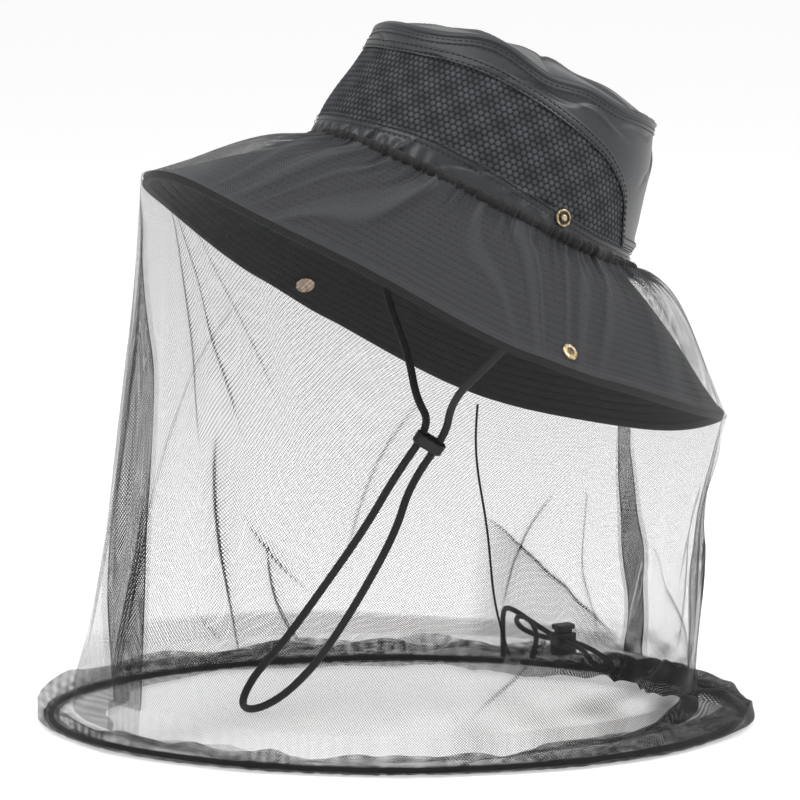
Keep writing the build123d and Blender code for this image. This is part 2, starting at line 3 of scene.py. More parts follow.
import bmesh
import bpy
import numpy as np
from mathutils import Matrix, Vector


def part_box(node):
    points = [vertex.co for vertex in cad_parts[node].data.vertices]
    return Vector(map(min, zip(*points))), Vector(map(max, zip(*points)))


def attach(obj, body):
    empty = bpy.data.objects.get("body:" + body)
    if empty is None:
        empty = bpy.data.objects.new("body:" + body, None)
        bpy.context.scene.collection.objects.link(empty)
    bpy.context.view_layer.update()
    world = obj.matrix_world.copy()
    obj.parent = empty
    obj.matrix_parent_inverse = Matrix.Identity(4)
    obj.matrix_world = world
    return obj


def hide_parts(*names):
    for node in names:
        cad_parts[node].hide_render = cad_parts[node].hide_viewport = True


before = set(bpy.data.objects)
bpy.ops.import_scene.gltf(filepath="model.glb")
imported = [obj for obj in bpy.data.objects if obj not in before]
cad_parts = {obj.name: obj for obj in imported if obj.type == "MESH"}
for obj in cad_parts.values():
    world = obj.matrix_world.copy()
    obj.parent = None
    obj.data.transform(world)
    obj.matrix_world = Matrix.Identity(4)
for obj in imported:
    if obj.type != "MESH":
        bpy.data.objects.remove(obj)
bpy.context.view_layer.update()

# A tilted sun hat with a net veil hanging to the floor. Everything is in metres, in the frame's
# axes: +Z up, the hat's front towards -Y, the origin at the centre of the head opening.

MM = 0.001
HAT = "hat_and_veil"
TILT = math.radians(23.5)
ACROSS = np.array((1.0, 0.0, 0.0))
BACK = np.array((0.0, math.cos(TILT), -math.sin(TILT)))
UP = np.array((0.0, math.sin(TILT), math.cos(TILT)))
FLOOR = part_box("veil_hem_casing")[0][2]
HEM_CENTRE = np.array((-25.0, -35.0)) * MM
HEM_TURN = math.radians(56)
HEM_HALF_LENGTH = 198 * MM
HEM_HALF_WIDTH = 144 * MM
CASING_HEIGHT = 5.5 * MM
CASING_WIDTH = 9.0 * MM
BRIM_HALF_LENGTH, BRIM_HALF_WIDTH = 190 * MM, 140 * MM
NET_PITCH = 1.6 * MM
SCALE_PITCH = 3.7 * MM
LACE_WIDTH, LACE_THICKNESS = 4.5 * MM, 2.2 * MM
DRAWCORD_DIAMETER = 3.2 * MM


# ---- camera, light and floor ---------------------------------------------------------------------

CAMERA_TARGET = Vector((-0.0304, -0.0286, -0.1152))
CAMERA_DISTANCE = 3.0


def put_round(name, data, azimuth, elevation, distance, target):
    """A camera or light that looks at the target; azimuth 0 is straight in front of the hat."""
    azimuth, elevation = math.radians(azimuth), math.radians(elevation)
    away = Vector((
        math.sin(azimuth) * math.cos(elevation),
        -math.cos(azimuth) * math.cos(elevation),
        math.sin(elevation),
    ))
    item = bpy.data.objects.new(name, data)
    item.location = target + away * distance
    item.rotation_euler = away.to_track_quat("Z", "Y").to_euler()
    bpy.context.collection.objects.link(item)
    return item


def make_camera():
    data = bpy.data.cameras.new("camera")
    data.sensor_width = 36
    data.lens = 236.8
    bpy.context.scene.camera = put_round("camera", data, 56, 9.6, CAMERA_DISTANCE, CAMERA_TARGET)


def make_light(name, azimuth, elevation, distance, size, energy):
    """A soft box that looks at the hat."""
    data = bpy.data.lights.new(name, "AREA")
    data.energy = energy
    data.size = size
    put_round(name, data, azimuth, elevation, distance, Vector())


def make_studio():
    make_light("light_front", 5, 45, 1.7, 0.6, 14)
    make_light("light_right", 135, 35, 1.7, 0.5, 16)
    make_light("light_top", 60, 80, 1.5, 0.8, 8)
    world = bpy.data.worlds.new("studio")
    world.use_nodes = True
    background = world.node_tree.nodes["Background"]
    background.inputs["Color"].default_value = (1, 1, 1, 1)
    background.inputs["Strength"].default_value = 0.7
    scene = bpy.context.scene
    scene.world = world
    scene.view_settings.view_transform = "Standard"
    scene.cycles.transparent_max_bounces = 64
    mesh = bpy.data.meshes.new("floor")
    half = 6.0
    corners = [(-half, -half, FLOOR), (half, -half, FLOOR), (half, half, FLOOR), (-half, half, FLOOR)]
    mesh.from_pydata(corners, [], [(0, 1, 2, 3)])
    floor = bpy.data.objects.new("floor", mesh)
    bpy.context.collection.objects.link(floor)
    material, tools = new_material("floor_paper")
    noise = tools.add("ShaderNodeTexNoise", Scale=3.0, Detail=3.0)
    tools.colour(noise.outputs["Fac"], [(0.3, (0.66, 0.66, 0.66)), (0.7, (0.68, 0.68, 0.68))])
    tools.set(Emission_Color=(1, 1, 1, 1), Emission_Strength=0.46, Roughness=0.9)
    mesh.materials.append(material)


# ---- materials -----------------------------------------------------------------------------------

class Tools:
    """Short ways to add and join the nodes of one material."""

    def __init__(self, material):
        self.nodes = material.node_tree.nodes
        self.links = material.node_tree.links
        self.shader = self.nodes["Principled BSDF"]

    def add(self, kind, **inputs):
        node = self.nodes.new(kind)
        for name, value in inputs.items():
            node.inputs[name.replace("_", " ")].default_value = value
        return node

    def join(self, output, node_input):
        self.links.new(output, node_input)

    def math(self, operation, first, second=None, third=None):
        node = self.nodes.new("ShaderNodeMath")
        node.operation = operation
        for index, value in enumerate((first, second, third)):
            if value is None:
                continue
            if isinstance(value, (int, float)):
                node.inputs[index].default_value = value
            else:
                self.join(value, node.inputs[index])
        return node.outputs[0]

    def set(self, **values):
        """Fixed values for the shader's inputs."""
        for name, value in values.items():
            self.shader.inputs[name.replace("_", " ")].default_value = value

    def colour(self, factor, stops):
        """Base colour from a ramp through (place, colour) stops."""
        node = self.nodes.new("ShaderNodeValToRGB")
        elements = node.color_ramp.elements
        while len(elements) < len(stops):
            elements.new(0.5)
        for element, (place, colour) in zip(elements, stops):
            element.position = place
            element.color = (*colour, 1)
        self.join(factor, node.inputs["Fac"])
        self.join(node.outputs["Color"], self.shader.inputs["Base Color"])

    def bump(self, height, distance, strength=1.0):
        node = self.add("ShaderNodeBump", Strength=strength, Distance=distance)
        self.join(height, node.inputs["Height"])
        self.join(node.outputs["Normal"], self.shader.inputs["Normal"])

    def cloth_uv(self):
        """The cloth's own two directions, in metres."""
        node = self.nodes.new("ShaderNodeUVMap")
        node.uv_map = "cloth"
        parts = self.nodes.new("ShaderNodeSeparateXYZ")
        self.join(node.outputs["UV"], parts.inputs["Vector"])
        return parts.outputs["X"], parts.outputs["Y"]

    def wave(self, value, pitch):
        """Rises and falls between 0 and 1, once in each pitch."""
        return self.math("MULTIPLY", self.math("PINGPONG", self.math("DIVIDE", value, pitch), 0.5), 2.0)


def new_material(name):
    material = bpy.data.materials.new(name)
    material.use_nodes = True
    return material, Tools(material)


def woven_cloth(name, dark, light, pitch, roughness, sheen, depth, twill=True):
    """Woven cloth: threads or twill ribs, with slow changes of tone."""
    material, tools = new_material(name)
    across, along = tools.cloth_uv()
    ribs = tools.wave(tools.math("ADD", across, along) if twill else across, pitch)
    threads = tools.wave(tools.math("SUBTRACT", along, across) if twill else along, pitch)
    weave = tools.math("MULTIPLY", tools.math("ADD", ribs, threads), 0.5)
    blotches = tools.add("ShaderNodeTexNoise", Scale=60.0, Detail=4.0)
    tone = tools.math("ADD", tools.math("MULTIPLY", weave, 0.5),
                      tools.math("MULTIPLY", blotches.outputs["Fac"], 0.5))
    tools.colour(tone, [(0.25, dark), (0.75, light)])
    tools.join(tools.math("MULTIPLY_ADD", weave, -0.12, roughness + 0.06), tools.shader.inputs["Roughness"])
    tools.set(Sheen_Weight=sheen, Sheen_Roughness=0.4, Specular_IOR_Level=0.3)
    tools.bump(weave, depth)
    return material


def net_cloth(name, coverage, colour):
    """Fine diamond net. The layers attribute says how many thicknesses lie together."""
    material, tools = new_material(name)
    across, along = tools.cloth_uv()
    layers = tools.nodes.new("ShaderNodeAttribute")
    layers.attribute_name = "layers"
    half_thread = tools.math("MULTIPLY", layers.outputs["Fac"], coverage / 2)
    one_way, other_way = (
        tools.math("PINGPONG", tools.math("DIVIDE", tools.math(way, across, along), NET_PITCH), 0.5)
        for way in ("ADD", "SUBTRACT"))
    nearest = tools.math("MINIMUM", one_way, other_way)
    tools.join(tools.math("LESS_THAN", nearest, half_thread), tools.shader.inputs["Alpha"])
    grain = tools.add("ShaderNodeTexNoise", Scale=900.0, Detail=2.0)
    lighter = tuple(channel * 1.8 for channel in colour)
    tools.colour(grain.outputs["Fac"], [(0.3, colour), (0.7, lighter)])
    tools.set(Roughness=0.6, Specular_IOR_Level=0.2, Sheen_Weight=0.1)
    return material


def scale_mesh(name):
    """Knitted mesh with painted light and shade: its colour is lighter on the raised scales and darker in the
    gaps between them, set by their height.
    """
    material, tools = new_material(name)
    across, along = tools.cloth_uv()
    relief = tools.nodes.new("ShaderNodeAttribute")
    relief.attribute_name = "relief"
    threads = tools.math("MULTIPLY", tools.wave(across, 0.55 * MM), tools.wave(along, 0.55 * MM))
    # Painted light and shade: the colour follows the scales' height, near black in the gaps and light on the
    # raised tops.
    shade = tools.math("MULTIPLY", relief.outputs["Fac"], tools.math("MULTIPLY_ADD", threads, 0.45, 0.75))
    tools.colour(shade, [(0.14, (0.0015, 0.0017, 0.002)), (0.5, (0.016, 0.0175, 0.020)),
                         (1.0, (0.082, 0.087, 0.097))])
    tools.set(Roughness=0.6, Specular_IOR_Level=0.15)
    tools.bump(threads, 0.12 * MM)
    return material


def braid(name, colour, pitch):
    """Braided cord: two sets of plaited strands."""
    material, tools = new_material(name)
    across, along = tools.cloth_uv()
    left = tools.wave(tools.math("ADD", along, across), pitch)
    right = tools.wave(tools.math("SUBTRACT", along, across), pitch)
    plait = tools.math("MAXIMUM", left, right)
    lighter = tuple(channel * 2.6 for channel in colour)
    tools.colour(plait, [(0.3, colour), (0.95, lighter)])
    tools.set(Roughness=0.7, Sheen_Weight=0.15)
    tools.bump(plait, 0.25 * MM)
    return material


def moulded_plastic(name, dark, light):
    material, tools = new_material(name)
    place = tools.nodes.new("ShaderNodeTexCoord")
    grain = tools.add("ShaderNodeTexNoise", Scale=700.0, Detail=3.0)
    tools.join(place.outputs["Object"], grain.inputs["Vector"])
    tools.colour(grain.outputs["Fac"], [(0.35, dark), (0.65, light)])
    tools.join(tools.math("MULTIPLY_ADD", grain.outputs["Fac"], 0.18, 0.26), tools.shader.inputs["Roughness"])
    tools.bump(grain.outputs["Fac"], 0.05 * MM, 0.4)
    return material


def metal(name, dull, bright, roughness):
    material, tools = new_material(name)
    place = tools.nodes.new("ShaderNodeTexCoord")
    tarnish = tools.add("ShaderNodeTexNoise", Scale=420.0, Detail=4.0)
    tools.join(place.outputs["Object"], tarnish.inputs["Vector"])
    tools.colour(tarnish.outputs["Fac"], [(0.36, dull), (0.6, bright)])
    tools.join(tools.math("MULTIPLY_ADD", tarnish.outputs["Fac"], 0.25, roughness),
               tools.shader.inputs["Roughness"])
    tools.set(Metallic=1.0)
    tools.bump(tarnish.outputs["Fac"], 0.04 * MM, 0.5)
    return material


# ---- mesh helpers --------------------------------------------------------------------------------

def hat_points(across, along, up):
    """Points given along the hat's own width, length and height."""
    return across[..., None] * ACROSS + along[..., None] * BACK + up[..., None] * UP


def angles(count):
    """Directions round the hat: 0 is its left side, +X, and a quarter turn is its back."""
    return np.linspace(0, 2 * math.pi, count, endpoint=False)


def wrapped(angle):
    """The same angle between half a turn back and half a turn on."""
    return (angle + math.pi) % (2 * math.pi) - math.pi


def outward(theta):
    """Directions from the hat's axis, square to it."""
    return np.cos(theta)[..., None] * ACROSS + np.sin(theta)[..., None] * BACK


def bump(angle, centre, width):
    """A smooth hill round one direction; centre and width are in degrees."""
    return np.exp(-(wrapped(angle - math.radians(centre)) / math.radians(width)) ** 2)


def smooth_step(value, low, high):
    share = np.clip((value - low) / (high - low), 0, 1)
    return share * share * (3 - 2 * share)


def add_piece(name, mesh, material, slot, replaces=()):
    piece = bpy.data.objects.new(name, mesh)
    bpy.context.collection.objects.link(piece)
    mesh.materials.append(material)
    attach(piece, HAT)
    if replaces:
        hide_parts(*replaces)
    return piece


def grid_mesh(name, points, uv, closed=True, ring_rows=False, marks=None):
    """Quads over rows and columns of points. uv has one more column (and row) than a closed grid."""
    rows, columns = points.shape[:2]
    across = columns if closed else columns - 1
    down = rows if ring_rows else rows - 1
    i, j = np.meshgrid(np.arange(down), np.arange(across), indexing="ij")
    below, beside = (i + 1) % rows, (j + 1) % columns
    quads = np.stack((i * columns + j, i * columns + beside,
                      below * columns + beside, below * columns + j), axis=-1)
    mesh = bpy.data.meshes.new(name)
    mesh.from_pydata(points.reshape(-1, 3).tolist(), [], quads.reshape(-1, 4).tolist())
    corners = np.stack((uv[i, j], uv[i, j + 1], uv[i + 1, j + 1], uv[i + 1, j]), axis=-2)
    mesh.uv_layers.new(name="cloth").data.foreach_set("uv", corners.astype(np.float32).reshape(-1))
    for mark, values in (marks or {}).items():
        attribute = mesh.attributes.new(mark, "FLOAT", "POINT")
        attribute.data.foreach_set("value", values.astype(np.float32).reshape(-1))
    mesh.polygons.foreach_set("use_smooth", [True] * len(mesh.polygons))
    mesh.update()
    return mesh


def surface_uv(points, closed=True, ring_rows=False):
    """Lengths along the cloth in both directions, so that a weave keeps its true size."""
    wide = np.concatenate((points, points[:, :1]), axis=1) if closed else points
    full = np.concatenate((wide, wide[:1]), axis=0) if ring_rows else wide
    middle = full[full.shape[0] // 2]
    u = np.concatenate(([0], np.cumsum(np.linalg.norm(np.diff(middle, axis=0), axis=1))))
    steps = np.linalg.norm(np.diff(full, axis=0), axis=2).mean(axis=1)
    v = np.concatenate(([0], np.cumsum(steps)))
    return np.stack(np.meshgrid(u, v, indexing="xy"), axis=-1)


def add_grid(name, points, material, ring_rows=False, marks=None, **labels):
    """A piece that closes round the hat, and with ring_rows round its own section too."""
    uv = surface_uv(points, ring_rows=ring_rows)
    return add_piece(name, grid_mesh(name, points, uv, ring_rows=ring_rows, marks=marks), material, **labels)


def solidify(piece, thickness):
    """Thickness behind the face that shows."""
    modifier = piece.modifiers.new("thickness", "SOLIDIFY")
    modifier.thickness = thickness
    modifier.offset = -1.0
    modifier.use_even_offset = True


def stitch_row(line, normals, length=2.3 * MM, gap=1.1 * MM, radius=0.27 * MM):
    """Vertices and faces of one row of stitches along a line of points."""
    steps = np.linalg.norm(np.diff(line, axis=0), axis=1)
    along = np.concatenate(([0], np.cumsum(steps)))
    starts = np.arange(0, along[-1] - length, length + gap)
    profile = np.array([(0.0, 0.25), (0.2, 0.9), (0.8, 0.9), (1.0, 0.25)])
    vertices, faces = [], []

    def at(places, values):
        return np.stack([np.interp(places, along, values[:, k]) for k in range(3)], axis=-1)

    for share, height in profile:
        centre = at(starts + share * length, line)
        ahead = at(starts + share * length + 0.2 * MM, line)
        out = at(starts + share * length, normals)
        out /= np.linalg.norm(out, axis=1)[:, None]
        forward = ahead - centre
        forward /= np.maximum(np.linalg.norm(forward, axis=1), 1e-9)[:, None]
        side = np.cross(forward, out)
        for turn in (0, 60, 120, 180, 240, 300):
            angle = math.radians(turn)
            vertices.append(centre + side * math.cos(angle) * radius * max(height, 0.5)
                            + out * math.sin(angle) * radius * height)
    ring = np.stack(vertices, axis=1)
    rings = len(profile)
    for stitch in range(len(starts)):
        base = stitch * rings * 6
        for r in range(rings - 1):
            for k in range(6):
                a, b = base + r * 6 + k, base + r * 6 + (k + 1) % 6
                faces.append((a, b, b + 6, a + 6))
        faces.append(tuple(base + k for k in range(5, -1, -1)))
        faces.append(tuple(base + (rings - 1) * 6 + k for k in range(6)))
    return ring.reshape(-1, 3), faces


def stitches(name, rows, material, slot):
    """One piece made of many rows of stitches."""
    vertices, faces = [], []
    count = 0
    for line, normals in rows:
        row_vertices, row_faces = stitch_row(line, normals)
        vertices.append(row_vertices)
        faces.extend(tuple(index + count for index in face) for face in row_faces)
        count += len(row_vertices)
    mesh = bpy.data.meshes.new(name)
    mesh.from_pydata(np.concatenate(vertices).tolist(), [], faces)
    mesh.polygons.foreach_set("use_smooth", [True] * len(mesh.polygons))
    return add_piece(name, mesh, material, slot)


# ---- cords: their routes are those of the CAD model ----------------------------------------------

def tab_exit(side):
    """Where the lace leaves the tab sewn inside the crown."""
    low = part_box("chin_cord_tab_left" if side > 0 else "chin_cord_tab_right")
    across = (low[0][0] + low[1][0]) / 2
    return Vector((across, *(UP * -18 * MM)[1:]))


SLIDER_CENTRE = Vector((-12, -21, -138)) * MM
SLIDER_AXIS = Vector((-0.443, -0.362, -0.820)).normalized()
SLIDER_SPAN = Vector((0.378, 0.755, -0.537)).normalized()


def strand(side, along):
    """Point on one strand's straight stretch through the slider."""
    return SLIDER_CENTRE + SLIDER_SPAN * (side * 5 * MM) + SLIDER_AXIS * (along * MM)


def millimetres(*points):
    return [Vector(point) * MM for point in points]


LACE_ROUTE = [
    tab_exit(1),
    *millimetres((80, -9, -38), (70, -12, -58), (52, -14, -76), (34, -17, -91), (17, -19, -104),
                 (3, -17, -117)),
    strand(1, -10),
    strand(1, 28),
    *millimetres((-21, -38, -190), (-35, -56, -232), (-48, -72, -264), (-58, -85, -282),
                 (-67, -96, -292), (-76, -103, -295.5), (-85, -102, -293.5), (-90, -95, -286),
                 (-85, -90, -275), (-72, -80, -256), (-56, -63, -223), (-37, -47, -187)),
    strand(-1, 28),
    strand(-1, -10),
    *millimetres((-23, -22.5, -113.5), (-36, -18, -95), (-54, -12, -82), (-75, -7, -65),
                 (-83, -6, -41)),
    tab_exit(-1),
]

DRAWCORD_ROUTE = millimetres(
    (-106.6, 97.6, -294), (-113, 102, -285), (-125, 110, -275), (-137, 120, -271.5),
    (-143, 132, -276), (-134, 141.5, -285), (-118, 145.2, -290), (-86, 145.2, -290),
    (-71, 146.8, -294.5), (-61.5, 145.2, -296.2), (-56.5, 139.6, -296.3), (-61.5, 134.4, -296.2),
    (-72, 136.4, -294.3), (-86, 140.8, -290), (-116.5, 140.8, -290), (-133, 139.3, -290.5),
    (-142, 134, -286.5), (-137, 128, -279), (-124, 125, -275.5), (-110, 122, -277),
    (-98, 117, -285), (-93.6, 109.6, -294),
)


def route_line(name, route):
    """Points along the smooth spline that a cord follows."""
    data = bpy.data.curves.new(name, "CURVE")
    data.dimensions = "3D"
    data.resolution_u = 12
    spline = data.splines.new("NURBS")
    spline.points.add(len(route) - 1)
    for place, point in zip(spline.points, route):
        place.co = (*point, 1)
    spline.order_u = 3
    spline.use_endpoint_u = True
    holder = bpy.data.objects.new(name, data)
    mesh = bpy.data.meshes.new_from_object(holder)
    line = np.array([vertex.co[:] for vertex in mesh.vertices])
    bpy.data.objects.remove(holder)
    bpy.data.meshes.remove(mesh)
    bpy.data.curves.remove(data)
    return line


def swept_tube(name, line, width, thickness, material, flat_side, sides=14):
    """Tube of an oval section along a line. flat_side is the way that the flat side faces."""
    tangents = np.gradient(line, axis=0)
    tangents /= np.linalg.norm(tangents, axis=1)[:, None]
    facing = np.array(flat_side, dtype=float)
    normals = facing - tangents * (tangents @ facing)[:, None]
    normals /= np.linalg.norm(normals, axis=1)[:, None]
    sideways = np.cross(tangents, normals)
    turn = angles(sides)
    points = (line[:, None] + sideways[:, None] * np.cos(turn)[None, :, None] * width / 2
              + normals[:, None] * np.sin(turn)[None, :, None] * thickness / 2)
    mesh = grid_mesh(name, points, surface_uv(points))
    count = len(line)
    ends = [tuple(range(sides - 1, -1, -1)), tuple((count - 1) * sides + k for k in range(sides))]
    close_ends(mesh, ends)
    piece = bpy.data.objects.new(name, mesh)
    bpy.context.collection.objects.link(piece)
    mesh.materials.append(material)
    return piece


def close_ends(mesh, ends):
    work = bmesh.new()
    work.from_mesh(mesh)
    work.verts.ensure_lookup_table()
    for end in ends:
        work.faces.new([work.verts[index] for index in end])
    bmesh.ops.recalc_face_normals(work, faces=work.faces)
    work.to_mesh(mesh)
    work.free()


def make_cords():
    lace_line = route_line("lace_route", LACE_ROUTE)
    lace_look = braid("lace_braid", (0.006, 0.006, 0.0065), 1.4 * MM)
    lace = swept_tube("chin_lace", lace_line, LACE_WIDTH, LACE_THICKNESS, lace_look, (0.83, -0.56, 0.0))
    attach(lace, HAT)
    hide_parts("chin_cord")
    cord_line = route_line("drawcord_route", DRAWCORD_ROUTE)
    cord_look = braid("drawcord_braid", (0.005, 0.005, 0.0055), 1.1 * MM)
    cord = swept_tube("drawcord_free_loop", cord_line, DRAWCORD_DIAMETER, DRAWCORD_DIAMETER, cord_look,
                      (0.0, 0.0, 1.0), sides=12)
    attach(cord, HAT)
    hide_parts("drawcord_loop")


# ---- crown ---------------------------------------------------------------------------------------

HEAD_HALF_LENGTH, HEAD_HALF_WIDTH = 98 * MM, 87 * MM
SEAM_HEIGHT = 72 * MM
SEAM_HALF_LENGTH, SEAM_HALF_WIDTH = 86 * MM, 78 * MM
EDGE_STITCHES = (1.4, 4.8)  # mm above the lower edge of the plain cloth
SEAM_CURVE = ((-115, 16), (-78, 16.5), (-54, 12), (-29, 6.5), (0, 2.2), (29, 0.5), (60, 2), (115, 8))
MESH_TOP_CURVE = ((-115, 57), (-78, 61), (-62, 60), (-36, 55), (-3, 47.5), (20, 41), (37, 31), (45, 23),
                  (50, 14), (53, -4), (115, -8))


CREASES = (  # direction and height of the middle, slope, length, width, depth, in degrees and mm
    (62, 58, 70, 26, 5.0, 1.5), (48, 46, 35, 24, 4.0, -1.2), (78, 40, 100, 30, 5.0, 1.4),
    (92, 52, 60, 24, 5.0, -1.3), (105, 38, 120, 30, 4.5, 1.3), (55, 32, 110, 20, 3.5, -1.1),
    (70, 28, 30, 24, 3.5, 1.1), (125, 50, 80, 26, 5.0, 1.2), (140, 34, 60, 26, 4.0, -1.2),
    (-20, 63, 4, 44, 3.5, -1.3), (8, 60, -6, 36, 3.0, 1.1), (30, 64, 12, 30, 3.5, -1.2),
    (-60, 62, 5, 30, 3.0, 1.0), (-95, 64, -8, 30, 3.0, -1.0), (200, 60, 10, 40, 4.0, 1.1),
    (240, 63, -10, 30, 3.5, -1.0), (-5, 6, 8, 40, 3.5, 1.0), (-35, 8, 20, 26, 3.0, -0.9),
    (-62, 5, 60, 16, 2.6, 1.1), (-75, 6, 75, 16, 2.4, -1.1), (-88, 5, 95, 16, 2.6, 1.0),
    (60, 8, 15, 30, 3.0, 0.9), (90, 7, -20, 30, 3.0, -0.9), (150, 8, 30, 24, 3.0, 0.9),
)


def crease(x, y, slope, length, width, sway=0.0):
    """A long narrow hill, for places given from its middle; length and width are in mm."""
    lean = math.radians(slope)
    along = x * math.cos(lean) + y * math.sin(lean)
    aside = y * math.cos(lean) - x * math.sin(lean) + sway * np.sin(along * 120)
    return np.exp(-(along / (length * MM / 2)) ** 2 - (aside / (width * MM / 2)) ** 2)


def cloth_give(theta, height):
    """How far the soft crown stands out from its oval, from the listed creases."""
    out = np.zeros(np.broadcast(theta, height).shape)
    for direction, middle, slope, length, width, depth in CREASES:
        x, y = wrapped(theta - math.radians(direction)) * 90 * MM, height - middle * MM
        out += 1.5 * depth * MM * crease(x, y, slope, length, width, sway=2 * MM)
    out += 0.5 * MM * np.sin(5 * theta + 1) * np.sin(height * 90)
    calm = smooth_step(np.hypot(90 * MM * np.sin(theta), height), 6 * MM, 14 * MM)
    return out * calm


def foot_height(theta):
    """Height of the crown's foot, where the brim starts: lower at the sides."""
    place = np.sin(theta)
    return (-14 - 3.5 * place + 9.5 * place**2) * MM


def crown_oval(height):
    """Half width and half length of the crown, which narrows towards the seam."""
    rise = height / SEAM_HEIGHT
    return (HEAD_HALF_WIDTH + (SEAM_HALF_WIDTH - HEAD_HALF_WIDTH) * rise,
            HEAD_HALF_LENGTH + (SEAM_HALF_LENGTH - HEAD_HALF_LENGTH) * rise)


def crown_points(theta, height, proud=0.0):
    """Points of the crown's side, with its belly, its creases and how far a layer stands proud."""
    rise = height / SEAM_HEIGHT
    belly = 1.6 * MM * np.sin(np.clip(rise, 0, 1) * math.pi)
    belly = belly + 4.5 * MM * bump(theta, -112, 38) * (1 - smooth_step(height, 18 * MM, 58 * MM))
    give = cloth_give(theta, height) + proud + belly
    width, length = crown_oval(height)
    return hat_points((width + give) * np.cos(theta), (length + give) * np.sin(theta), height)


def side_view_curve(theta, curve):
    """Height of a seam that is drawn on the hat's side view."""
    along = 95 * MM * np.sin(theta)
    places, heights = np.array(curve).T * MM
    shifts = np.linspace(-5, 5, 7) * MM
    return np.mean([np.interp(along + shift, places, heights) for shift in shifts], axis=0)


def lower_seam(theta):
    return side_view_curve(theta, SEAM_CURVE)


def mesh_edge(theta):
    """Lower edge of the plain cloth: the mesh's top, then the lower seam behind the ears."""
    return np.maximum(side_view_curve(theta, MESH_TOP_CURVE), lower_seam(theta))


def seam_line(theta):
    """Height of the seam round the top, which wanders between the creases."""
    wander = 5.5 * bump(theta, -46, 16) - 3.5 * bump(theta, -20, 11) - 2.5 * bump(theta, 14, 14)
    wander = wander + 2.5 * bump(theta, 62, 16) - 2.0 * np.sin(5 * theta + 0.6) * bump(theta, 180, 90)
    return SEAM_HEIGHT + (1.0 + wander) * MM


def outline_normals(line):
    """Directions away from the hat's axis, for a line round the crown."""
    return line - UP * (line @ UP).mean()


def make_crown():
    nylon = woven_cloth("crown_nylon_weave", (0.020, 0.021, 0.023), (0.034, 0.036, 0.039),
                        0.5 * MM, 0.36, 0.1, 0.03 * MM, twill=False)
    thread = woven_cloth("crown_thread", (0.004, 0.004, 0.0045), (0.011, 0.011, 0.012),
                         0.3 * MM, 0.7, 0.2, 0.02 * MM)
    make_crown_side(nylon)
    make_crown_stitching(thread)
    make_seam_ridge(nylon)
    make_crown_top(nylon)
    make_crown_mesh()
    make_lower_band(nylon)
    make_sweatband()


def stitch_grooves(distance, rows, depth):
    """How far rows of stitches pull the cloth in; rows are distances from the edge, in mm."""
    return sum(depth * np.exp(-((distance - row * MM) / (0.5 * MM)) ** 2) for row in rows)


def make_crown_side(nylon):
    """Plain cloth above and behind the mesh, with its lower edge turned and stitched."""
    theta = angles(720)
    share = np.linspace(0, 1, 60)[:, None]
    low, high = mesh_edge(theta)[None, :], seam_line(theta)[None, :]
    height = low + (high - low) * share
    hem_fold = 0.75 * MM * (1 - smooth_step(height - low, 5.2 * MM, 6.4 * MM))
    hem_fold -= stitch_grooves(height - low, EDGE_STITCHES, 0.35 * MM)
    top_fold = 0.5 * MM * smooth_step(height, high - 5 * MM, high - 4 * MM)
    points = crown_points(theta[None, :], height, 0.5 * MM + hem_fold + top_fold)
    side = add_grid("crown_side_cloth", points, nylon, slot="crown_nylon", replaces=["crown_side_panel"])
    solidify(side, 0.7 * MM)


def make_crown_stitching(thread):
    theta = angles(720)
    rows = []
    for seam, lifts, proud in ((mesh_edge, EDGE_STITCHES, 1.25), (seam_line, (-2.2, -4.6), 1.1),
                               (lower_seam, (-1.4, -4.4), 0.75)):
        for lift in lifts:
            line = crown_points(theta, seam(theta) + lift * MM, proud * MM)
            line = np.concatenate((line, line[:1]))
            rows.append((line, outline_normals(line)))
    stitches("crown_stitching", rows, thread, slot="crown_nylon")


def make_seam_ridge(nylon):
    """The cord-like ridge where the top and the side are seamed."""
    theta = angles(720)
    line = crown_points(theta, seam_line(theta) + 0.4 * MM, 1.0 * MM)
    turn = angles(10)[:, None]
    ridge = (line[None] + outward(theta)[None] * np.cos(turn)[..., None] * 0.8 * MM
             + UP * np.sin(turn)[..., None] * 1.3 * MM)
    add_grid("crown_top_seam_ridge", ridge, nylon, ring_rows=True, slot="crown_nylon")


TOP_CREASES = (  # direction, reach of the middle as a share, slope, length, width, depth
    (-60, 0.66, 20, 60, 5, 1.5), (-20, 0.72, -25, 56, 6, -1.6), (15, 0.8, 65, 44, 5, 1.6),
    (40, 0.78, 40, 40, 6, -1.4), (0, 0.45, 75, 60, 7, 1.4), (70, 0.7, 100, 44, 5, 1.5),
    (-100, 0.75, 10, 40, 5, 1.3), (130, 0.6, 60, 50, 7, 1.4), (200, 0.65, 20, 50, 6, -1.3),
)


